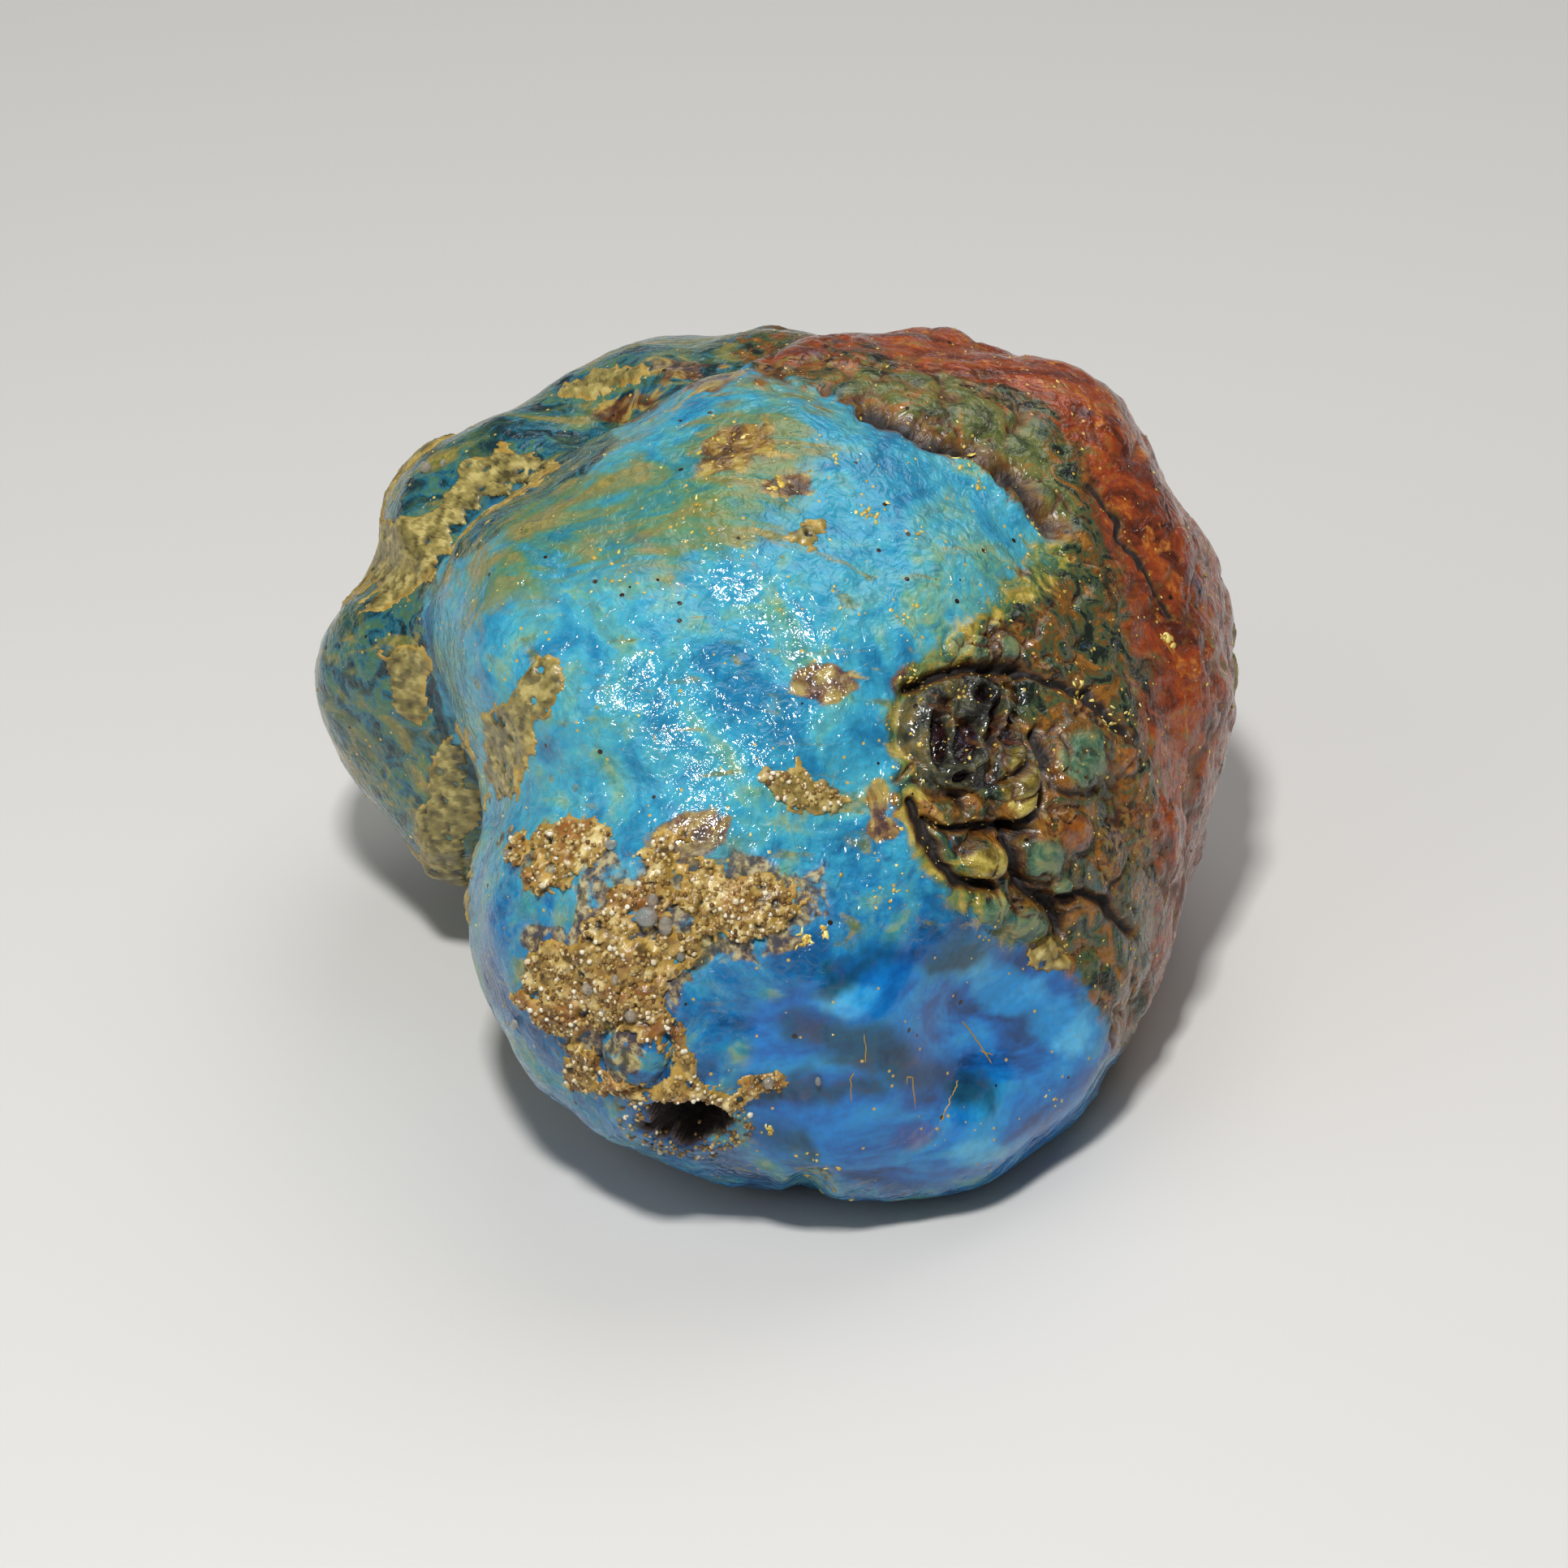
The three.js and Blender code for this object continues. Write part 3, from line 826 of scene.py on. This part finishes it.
def sealed_threads(material):
    """Threads half sealed in the window's skin, each along a line of pixels and a little uneven."""
    points, faces, count = [], [], 0
    for line, radius in THREADS.values():
        stops = np.linspace(0.0, len(line) - 1.0, 7 * len(line))
        ends = np.array(line, float)
        pixels = np.stack([np.interp(stops, np.arange(len(line)), ends[:, k]) for k in (0, 1)], -1)
        ways, _ = on_skin(pixels)
        path = skin(ways)[0]
        path = path + 0.06 * np.stack([ripple(path, 0.5, 151 + k) for k in range(3)], -1)
        corners, sides = tube(path, radius)
        points.append(corners)
        faces.append(sides + count)
        count += len(corners)
    return put_mesh("sealed_threads", np.concatenate(points), np.concatenate(faces), material)


def strewn_flakes(material):
    """Yellow flakes: some round the named places, and loose ones at random corners of the skin, more of
    them on the flank and the film than on the blue, and few in the window."""
    chance = np.random.default_rng(7)
    pixels = np.concatenate([np.array(at) + chance.normal(0.0, strewn * 0.6, (count, 2))
                             for at, strewn, count, _ in FLAKES])
    sizes = np.concatenate([size * chance.uniform(0.4, 1.2, count) for _, _, count, size in FLAKES])
    ways, normals = on_skin(pixels)
    placed = skin(ways)[0]
    weight = 0.25 + SKIN["flank"] + 0.8 * SKIN["film"] + 0.8 * SKIN["fringe"]
    weight = weight * (1.0 - 0.8 * SKIN["window"]) * (SKIN["points"][:, 2] > 1.0)
    loose = chance.choice(len(weight), LOOSE_FLAKES, p=weight / weight.sum())
    places = np.concatenate([placed, SKIN["points"][loose]])
    outward = np.concatenate([normals, SKIN["normals"][loose]])
    sizes = np.concatenate([sizes, 0.10 + 0.30 * chance.random(LOOSE_FLAKES) ** 3])
    return flakes("yellow_flakes", places, outward, sizes, material, 17)


def linear(colour):
    """An sRGB hex colour as linear red, green, blue and alpha."""
    shares = np.array([int(colour[k:k + 2], 16) for k in (1, 3, 5)]) / 255.0
    light = np.where(shares <= 0.04045, shares / 12.92, ((shares + 0.055) / 1.055) ** 2.4)
    return (*light.tolist(), 1.0)


def add(tree, kind, sockets=None, stops=None, **settings):
    """Adds one shader node of a kind, with its settings. sockets gives inputs, by name or place, a value or
    another node's output to link to. stops are a colour ramp's places and hex colours."""
    node = tree.nodes.new("ShaderNode" + kind)
    for key, value in settings.items():
        setattr(node, key, value)
    for key, value in (sockets or {}).items():
        if isinstance(value, bpy.types.NodeSocket):
            tree.links.new(value, node.inputs[key])
        else:
            node.inputs[key].default_value = value
    if stops:
        while len(node.color_ramp.elements) < len(stops):
            node.color_ramp.elements.new(0.5)
        for element, (place, colour) in zip(node.color_ramp.elements, stops):
            element.position = place
            element.color = linear(colour)
    return node


def new_material(name, finish):
    """A node material whose shader has the given finish, with its output and Object coordinates."""
    material = bpy.data.materials.new(name)
    material.use_nodes = True
    tree = material.node_tree
    tree.nodes.clear()
    shader = add(tree, "BsdfPrincipled", finish)
    output = add(tree, "OutputMaterial", {"Surface": shader.outputs[0]})
    here = add(tree, "TexCoord").outputs["Object"]
    return material, tree, shader, output, here


def per_mm(size):
    """Texture scale that sets a pattern's lumps that many millimetres apart."""
    return 1.0 / (size * MM)


# Patterns of the amber's colours: millimetres between lumps, detail, twist, and squeeze along x, y and z
PATTERNS = {
    "cloud": (4.5, 5.0, 0.8, (1.0, 1.0, 1.0)),
    "blotch": (2.2, 6.0, 1.2, (1.0, 1.0, 1.0)),
    "streak": (5.0, 6.0, 1.6, (0.45, 1.6, 1.8)),
    "fine": (0.6, 3.0, 0.0, (1.0, 1.0, 1.0)),
    "haze": (6.5, 4.0, 0.9, (0.7, 1.0, 1.5)),
}
# Colours laid over each other: the share of the skin, the pattern of its tones, the tones, the pattern of
# its edge and how much that moves the edge, where the moved share begins and ends to cover, and its cover
AMBER_LAYERS = [
    ("deep", "cloud", [(0.15, "#084a82"), (0.40, "#0f70b4"), (0.62, "#2290cc"), (0.85, "#4cb2d8")],
     "blotch", 1.4, 0.20, 0.80, 0.92),
    (None, "blotch", [(0.32, "#1f7f8c"), (0.46, "#3f9a8a"), (0.58, "#6aa878"), (0.72, "#9ab070")],
     "cloud", 3.0, -0.05, 0.55, 0.8),
    # Dark teal shoulder, partly its own colour and partly painted shade cast by the boss
    ("shoulder", "blotch", [(0.32, "#0a1e1e"), (0.44, "#12454f"), (0.56, "#1c6c88"), (0.70, "#4c7a58")],
     "cloud", 0.8, 0.15, 0.60, 0.95),
    ("film", "streak", [(0.20, "#2f8794"), (0.42, "#5f946c"), (0.62, "#828f4a"), (0.85, "#a8924a")],
     "streak", 2.0, 0.20, 0.80, 0.9),
    (None, "fine", [(0.35, "#6f8038"), (0.65, "#a89a48")], "streak", 3.0, 0.24, 0.60, 0.75),
    ("rust", "blotch", [(0.30, "#5c3210"), (0.46, "#8a5a20"), (0.60, "#a8833a"), (0.75, "#c9ab55")],
     "blotch", 2.2, 0.30, 0.70, 0.9),
    ("flank", "blotch", [(0.28, "#1e261c"), (0.40, "#43583c"), (0.50, "#5f6438"), (0.60, "#6f4c22"),
     (0.74, "#a06a24")], "blotch", 1.6, 0.35, 0.75, 1.0),
    ("flank", "fine", [(0.34, "#3a2412"), (0.48, "#74421a"), (0.62, "#a8642a"), (0.76, "#8f8440")],
     "cloud", 3.2, 0.85, 1.30, 0.85),
    # Red-orange rind tones, partly the resin's own colour and partly painted glow of light through the thin
    # edge
    ("rind", "streak", [(0.10, "#4c1c0e"), (0.35, "#7d3619"), (0.55, "#a2431b"), (0.75, "#b45a24"),
     (0.95, "#867440")], "blotch", 1.8, 0.35, 0.95, 1.0),
    ("rind", "fine", [(0.34, "#b8541a"), (0.66, "#d98a34")], "blotch", 3.4, 1.15, 1.55, 0.8),
    ("olive", "blotch", [(0.15, "#414c30"), (0.40, "#66743f"), (0.65, "#858448"), (0.90, "#b0702c")],
     "blotch", 1.6, 0.30, 0.80, 0.9),
    ("fringe", "blotch", [(0.32, "#4f7048"), (0.48, "#869648"), (0.62, "#b09a3c"), (0.76, "#d2bd5c")],
     "blotch", 2.0, 0.35, 0.85, 0.9),
    ("sand", "fine", [(0.32, "#4f3616"), (0.48, "#80622e"), (0.62, "#a68a4c"), (0.78, "#c9b67a")],
     "blotch", 3.0, 0.65, 1.00, 0.85),
    ("bud", "blotch", [(0.15, "#1e1a1a"), (0.40, "#38392f"), (0.62, "#55553a"), (0.88, "#7d6a36")],
     "fine", 0.2, 0.20, 0.70, 1.0),
    ("golden", "blotch", [(0.20, "#6f5a1e"), (0.50, "#b09a3c"), (0.80, "#d8c868")],
     "fine", 0.6, 0.25, 0.80, 0.85),
    ("orange", "blotch", [(0.20, "#6a3410"), (0.50, "#a85a1a"), (0.80, "#c9812e")],
     "fine", 0.6, 0.25, 0.80, 0.85),
    ("teal", "blotch", [(0.20, "#2f4f3c"), (0.50, "#5a8468"), (0.80, "#8fa070")],
     "fine", 0.6, 0.25, 0.80, 0.85),
    # Pits: a maroon tone darkened near black, partly their own colour and partly painted shade in the pits
    ("pocket", "blotch", [(0.35, "#140809"), (0.50, "#35171a"), (0.66, "#2f2c40")],
     "fine", 0.4, 0.15, 0.70, 0.95),
    ("window", "haze", [(0.10, "#0b4a86"), (0.30, "#0468bc"), (0.55, "#0c8ade"), (0.85, "#2cb0f0")],
     "haze", 0.5, 0.15, 0.85, 1.0),
    ("glow", "haze", [(0.25, "#10a4f0"), (0.75, "#6cd4ff")], "haze", 1.4, 0.10, 0.95, 0.9),
    ("violet", "blotch", [(0.35, "#3f3a90"), (0.55, "#6a4f94"), (0.72, "#9c6450")],
     "haze", 1.4, 0.45, 1.25, 0.55),
    # Dark bands in the window: smoky bands in the resin, and a painted shadow under the window's brow
    ("smoke_and_shadow", "blotch", [(0.25, "#0a2c3c"), (0.55, "#0e4458"), (0.85, "#3c3430")],
     "haze", 2.6, 0.15, 1.10, 0.85),
    # Cracks, seams, moats, the groove and the cavity: orange-brown along them, then near black that is
    # partly brown stain and partly painted shade in these creases and hollows
    ("crack", "fine", [(0.30, "#6a300a"), (0.70, "#805a1e")], "fine", 0.3, 0.08, 0.50, 0.8),
    ("crack", "fine", [(0.30, "#0c0603"), (0.70, "#1e0f06")], "fine", 0.2, 0.35, 0.80, 1.0),
]


def blue_amber():
    """Blue amber with a natural skin, wet-looking and slightly milky. Fluorescing resin gives the blue, and
    the rind the olive to red, its orange-red partly the resin's own colour and partly painted glow of light
    through the thin edge. The dark brown in the cracks, the groove, the moats and the cavity is partly brown
    stain and partly painted shade in these creases and hollows. The skin is finely dimpled, so that light
    breaks up on it into many small glints."""
    material, tree, shader, output, here = new_material("blue_amber", {
        "IOR": AMBER_IOR, "Transmission Weight": 0.25, "Subsurface Weight": 0.2,
        "Subsurface Radius": (0.6, 1.0, 1.0), "Subsurface Scale": 0.7 * MM})
    noise, vivid = {}, {}
    for name, (size, detail, twist, squeeze) in PATTERNS.items():
        at = add(tree, "Mapping", {"Vector": here, "Scale": squeeze}).outputs[0]
        noise[name] = add(tree, "TexNoise", {
            "Vector": at, "Scale": per_mm(size), "Detail": detail, "Roughness": 0.6,
            "Distortion": twist}).outputs["Fac"]
        vivid[name] = add(tree, "MapRange", {"Value": noise[name], "From Min": 0.30, "From Max": 0.70})
    share = {None: 0.0}
    for name in SKIN_SHARES:
        share[name] = add(tree, "Attribute", attribute_name=name).outputs["Fac"]

    blue = [(0.15, "#2486b4"), (0.38, "#3ca8cc"), (0.60, "#54bcd2"), (0.85, "#8cd2d0")]
    colour = add(tree, "ValToRGB", {0: vivid["cloud"].outputs[0]}, blue).outputs[0]
    for zone, pattern, tones, edge, moved, low, high, cover in AMBER_LAYERS:
        tone = add(tree, "ValToRGB", {0: vivid[pattern].outputs[0]}, tones).outputs[0]
        lifted = add(tree, "Math", {0: noise[edge], 1: moved, 2: share[zone]}, operation="MULTIPLY_ADD")
        mask = add(tree, "MapRange", {
            "Value": lifted.outputs[0], "From Min": low + moved / 2, "From Max": high + moved / 2,
            "To Max": cover}, interpolation_type="SMOOTHSTEP")
        colour = add(tree, "Mix", {0: mask.outputs[0], 6: colour, 7: tone}, data_type="RGBA").outputs[2]

    # Fine mottling, small yellow specks a tenth of a millimetre across that are painted glints of tiny
    # grains, and small dark pits
    mottle = add(tree, "MapRange", {
        "Value": noise["fine"], "From Min": 0.3, "From Max": 0.7, "To Min": 0.80, "To Max": 1.12}).outputs[0]
    grey = add(tree, "CombineColor", {0: mottle, 1: mottle, 2: mottle}).outputs[0]
    colour = add(tree, "Mix", {0: 1.0, 6: colour, 7: grey},
                 data_type="RGBA", blend_type="MULTIPLY").outputs[2]
    # The yellow specks are painted glints; the dark ones are the small dark pits
    for spacing, reach, rare, speck_colour in ((0.9, 0.12, 0.6, "#dcb95a"), (1.7, 0.10, 0.55, "#2a1c10")):
        speck = add(tree, "TexVoronoi", {"Vector": here, "Scale": per_mm(spacing)})
        luck = add(tree, "SeparateColor", {0: speck.outputs["Color"]}).outputs[0]
        near = add(tree, "Math", {0: speck.outputs["Distance"], 1: reach}, operation="LESS_THAN").outputs[0]
        lucky = add(tree, "Math", {0: luck, 1: rare}, operation="GREATER_THAN").outputs[0]
        both = add(tree, "Math", {0: near, 1: lucky}, operation="MULTIPLY").outputs[0]
        colour = add(tree, "Mix", {0: both, 6: colour, 7: linear(speck_colour)}, data_type="RGBA").outputs[2]

    dull = add(tree, "Math", {0: share["crack"], 1: share["sand"]}, operation="MAXIMUM").outputs[0]
    rough = add(tree, "MapRange", {"Value": dull, "To Min": 0.09, "To Max": 0.8}).outputs[0]
    dimple = add(tree, "TexNoise", {"Vector": here, "Scale": per_mm(0.8), "Detail": 3.0, "Distortion": 0.8})
    calm = add(tree, "MapRange", {"Value": share["window"], "To Min": 1.0, "To Max": 0.1}).outputs[0]
    height = add(tree, "Math", {0: dimple.outputs["Fac"], 1: calm}, operation="MULTIPLY").outputs[0]
    bump = add(tree, "Bump", {"Strength": 1.0, "Distance": 0.24 * MM, "Height": height}).outputs[0]

    tree.links.new(colour, shader.inputs["Base Color"])
    tree.links.new(rough, shader.inputs["Roughness"])
    tree.links.new(bump, shader.inputs["Normal"])
    inside = add(tree, "VolumeAbsorption", {"Color": linear("#c98a3c"), "Density": 60.0})
    tree.links.new(inside.outputs[0], output.inputs["Volume"])
    return material


def clear_amber(name, tint, density, clear):
    """Clear or slightly milky resin, smooth as it set, that bends light and colours it as amber does."""
    material, tree, shader, output, here = new_material(name, {
        "Base Color": linear("#dcd6c8"), "Roughness": 0.04, "IOR": AMBER_IOR, "Transmission Weight": clear})
    ripply = add(tree, "TexNoise", {"Vector": here, "Scale": per_mm(1.6), "Detail": 2.0}).outputs["Fac"]
    bump = add(tree, "Bump", {"Strength": 0.6, "Distance": 0.08 * MM, "Height": ripply}).outputs[0]
    tree.links.new(bump, shader.inputs["Normal"])
    inside = add(tree, "VolumeAbsorption", {"Color": linear(tint), "Density": density})
    tree.links.new(inside.outputs[0], output.inputs["Volume"])
    return material


def cemented_sand():
    """Fine quartz sand cemented by resin and clay: tan grains, dark pores and a golden thin rim."""
    material, tree, shader, output, here = new_material("cemented_sand", {
        "Roughness": 0.34, "IOR": QUARTZ_IOR})
    pore, rim, grain, lacy = [add(tree, "Attribute", attribute_name=name).outputs["Fac"]
                              for name in ("pore", "rim", "grain", "golden")]
    fine, stain, grit = [
        add(tree, "TexNoise", {"Vector": here, "Scale": per_mm(size), "Detail": detail})
        for size, detail in ((1.1, 5.0), (3.2, 4.0), (0.22, 2.0))]
    mixed = add(tree, "Math", {0: grain, 1: 0.35, 2: fine.outputs["Fac"]},
                operation="MULTIPLY_ADD").outputs[0]
    tan = [(0.42, "#463e22"), (0.58, "#716636"), (0.74, "#918348"), (0.92, "#b8a868")]
    ochre = [(0.40, "#54401a"), (0.58, "#8c6e30"), (0.74, "#b0934e"), (0.92, "#dccc94")]
    colour, ochre = [add(tree, "ValToRGB", {0: mixed}, tones).outputs[0] for tones in (tan, ochre)]
    rusty = add(tree, "MapRange", {
        "Value": stain.outputs["Fac"], "From Min": 0.48, "From Max": 0.64, "To Max": 0.7}).outputs[0]
    rusty = add(tree, "Math", {0: rusty, 1: lacy}, operation="MULTIPLY").outputs[0]
    golden = add(tree, "MapRange", {
        "Value": rim, "From Min": 0.9, "From Max": 0.2, "To Max": 0.6}).outputs[0]
    for mask, upper in [(lacy, ochre), (rusty, linear("#8a4612")),
                        (golden, linear("#b8923c")), (pore, linear("#241a0e"))]:
        colour = add(tree, "Mix", {0: mask, 6: colour, 7: upper}, data_type="RGBA").outputs[2]
    tree.links.new(colour, shader.inputs["Base Color"])
    bump = add(tree, "Bump", {
        "Strength": 0.8, "Distance": 0.06 * MM, "Height": grit.outputs["Fac"]}).outputs[0]
    tree.links.new(bump, shader.inputs["Normal"])
    return material


def tinted(name, tones, roughness):
    """Small loose bits, wet-looking, each with a tone of its own between the given ones."""
    material, tree, shader, output, here = new_material(name, {"Roughness": roughness, "IOR": QUARTZ_IOR})
    tint = add(tree, "Attribute", attribute_name="tint").outputs["Fac"]
    colour = add(tree, "ValToRGB", {0: tint}, tones).outputs[0]
    tree.links.new(colour, shader.inputs["Base Color"])
    return material


def light(name, place, aim, size, power):
    """A soft square lamp at a place, facing the aim."""
    lamp = bpy.data.lights.new(name, "AREA")
    lamp.energy = power
    lamp.size = size * MM
    piece = bpy.data.objects.new(name, lamp)
    piece.location = Vector(place) * MM
    piece.rotation_euler = Vector(np.subtract(aim, place)).to_track_quat("-Z", "Y").to_euler()
    bpy.context.scene.collection.objects.link(piece)


def studio():
    """Pale floor, soft lamps and the camera. The key lamp's light glances off the boss to the eye."""
    floor_mesh = bpy.data.meshes.new("floor")
    far = FLOOR_REACH
    corners = [(-far, -far, 0), (far, -far, 0), (far, far, 0), (-far, far, 0)]
    floor_mesh.from_pydata(corners, [], [(0, 1, 2, 3)])
    paint = new_material("pale_floor", {"Base Color": linear("#cfcdc9"), "Roughness": 0.7})[0]
    floor_mesh.materials.append(paint)
    floor = bpy.data.objects.new("floor", floor_mesh)
    floor.location.z = -0.02 * MM
    bpy.context.scene.collection.objects.link(floor)

    camera = bpy.data.cameras.new("camera")
    camera.lens, camera.sensor_width = LENS, SENSOR
    camera.clip_start, camera.clip_end = CLIP
    eye = bpy.data.objects.new("camera", camera)
    place = CAMERA_AIM + TO_EYE * CAMERA_DISTANCE
    eye.location = Vector(place) * MM
    eye.rotation_euler = (math.pi / 2 - SIGHT_ELEVATION, 0.0, 0.0)
    bpy.context.scene.collection.objects.link(eye)
    bpy.context.scene.camera = eye

    from_glints = np.hypot(SKIN["px"] - GLINT_AT[0], SKIN["py"] - GLINT_AT[1])
    glints = (from_glints < GLINT_REACH) & (SKIN["seen"] > 0.5)
    slope = unit(SKIN["normals"][glints].sum(0))
    middle = SKIN["points"][glints].mean(0)
    bounce = 2.0 * (slope @ TO_EYE) * slope - TO_EYE
    light("key", middle + bounce * KEY_DISTANCE, middle, KEY_SIZE, KEY_POWER)
    for name, (at, size, power) in FILL_LAMPS.items():
        light(name, at, HEART, size, power)
    world = bpy.data.worlds.new("studio")
    world.use_nodes = True
    ground = world.node_tree.nodes.get("Background")
    ground.inputs["Color"].default_value = linear("#f2f4f6")
    ground.inputs["Strength"].default_value = SKY_STRENGTH
    bpy.context.scene.world = world
    bpy.context.scene.view_settings.view_transform = "Standard"


DEPTH_SQUARE = 18  # pixels along each side of the squares that depths are kept in
DEPTH_CELLS = 72  # cells along each side of the grids that they are read from
corners = cad_corners()
CAMERA_DISTANCE, CAMERA_AIM = fit_camera(corners)
SKIN_FIT = fit_reach(corners)
directions, skin_faces = ball_grid(SKIN_CELLS)
coarse = ball_grid(DEPTH_CELLS)[0]
FRONT_DEPTHS = front_depths(*photo_place(HEART + coarse * skin_reach(coarse)[:, None]))
skin_points, skin_zones = skin(directions)
skin_normals = corner_normals(skin_points, skin_faces)
SKIN = {"ways": directions, "points": skin_points, "normals": skin_normals, **skin_zones}
SKIN_SHARES = (
    "flank", "rind", "window", "shoulder", "film", "sand", "deep", "bud", "pocket", "crack", "rust",
    "glow", "violet", "smoke_and_shadow", "fringe", "olive", "golden", "orange", "teal",
)
shares = {key: SKIN[key] for key in SKIN_SHARES}
nodule = put_mesh("amber_skin", skin_points, skin_faces, blue_amber(), shares)
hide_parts(NODE)

crusted = cemented_sand()
tops = {name: sand_crust(name, *values, crusted) for name, values in CRUSTS.items()}
for name, (way, radius, *values) in CRUSTS_BEHIND.items():
    middle = skin(unit(np.array([way])))[0][0]
    tops[name] = sand_crust(name, (middle, radius), *values, crusted)
chance = np.random.default_rng(23)
loose_on = ("crust_front", "crust_toe", "crust_front_left", "crust_boss_right", "crust_bud")
sandy = np.concatenate([tops[name] for name in loose_on])
lie = chance.choice(len(sandy), SAND_GRAINS, replace=False)
round_cavity = oval_reach(SKIN["px"], SKIN["py"], *CAVITY[:4])
rim = np.flatnonzero((round_cavity > 0.9) & (round_cavity < 1.5) & (SKIN["seen"] > 0.5))
rim = chance.choice(rim, RIM_GRAINS, replace=False)
quartz_tones = [(0.0, "#5c3a14"), (0.4, "#94733a"), (0.75, "#bfa668"), (1.0, "#e6e0cc")]
quartz = tinted("quartz_sand", quartz_tones, 0.15)
settled = np.concatenate([sandy[lie], SKIN["points"][rim]])
grains("sand_grains", settled, 0.18 + 0.22 * chance.random(len(settled)), quartz, 29)

bead_ways, _ = on_skin([at for at, _ in BEADS])
bead_sizes = np.array([radius for _, radius in BEADS]) * 1.6 * PIXEL
beads = skin(bead_ways)[0] + bead_ways * 0.35 * bead_sizes[:, None]
resin = clear_amber("clear_resin", "#f0e6cc", 60.0, 0.75)
grains("resin_beads", beads, bead_sizes, resin, 31, around=16, rings=11, wobble=0.02)
yellow = tinted("yellow_resin", [(0.0, "#a8862e"), (0.5, "#d2b449"), (1.0, "#f0df8c")], 0.25)
strewn_flakes(yellow)
sealed_threads(yellow)
studio()
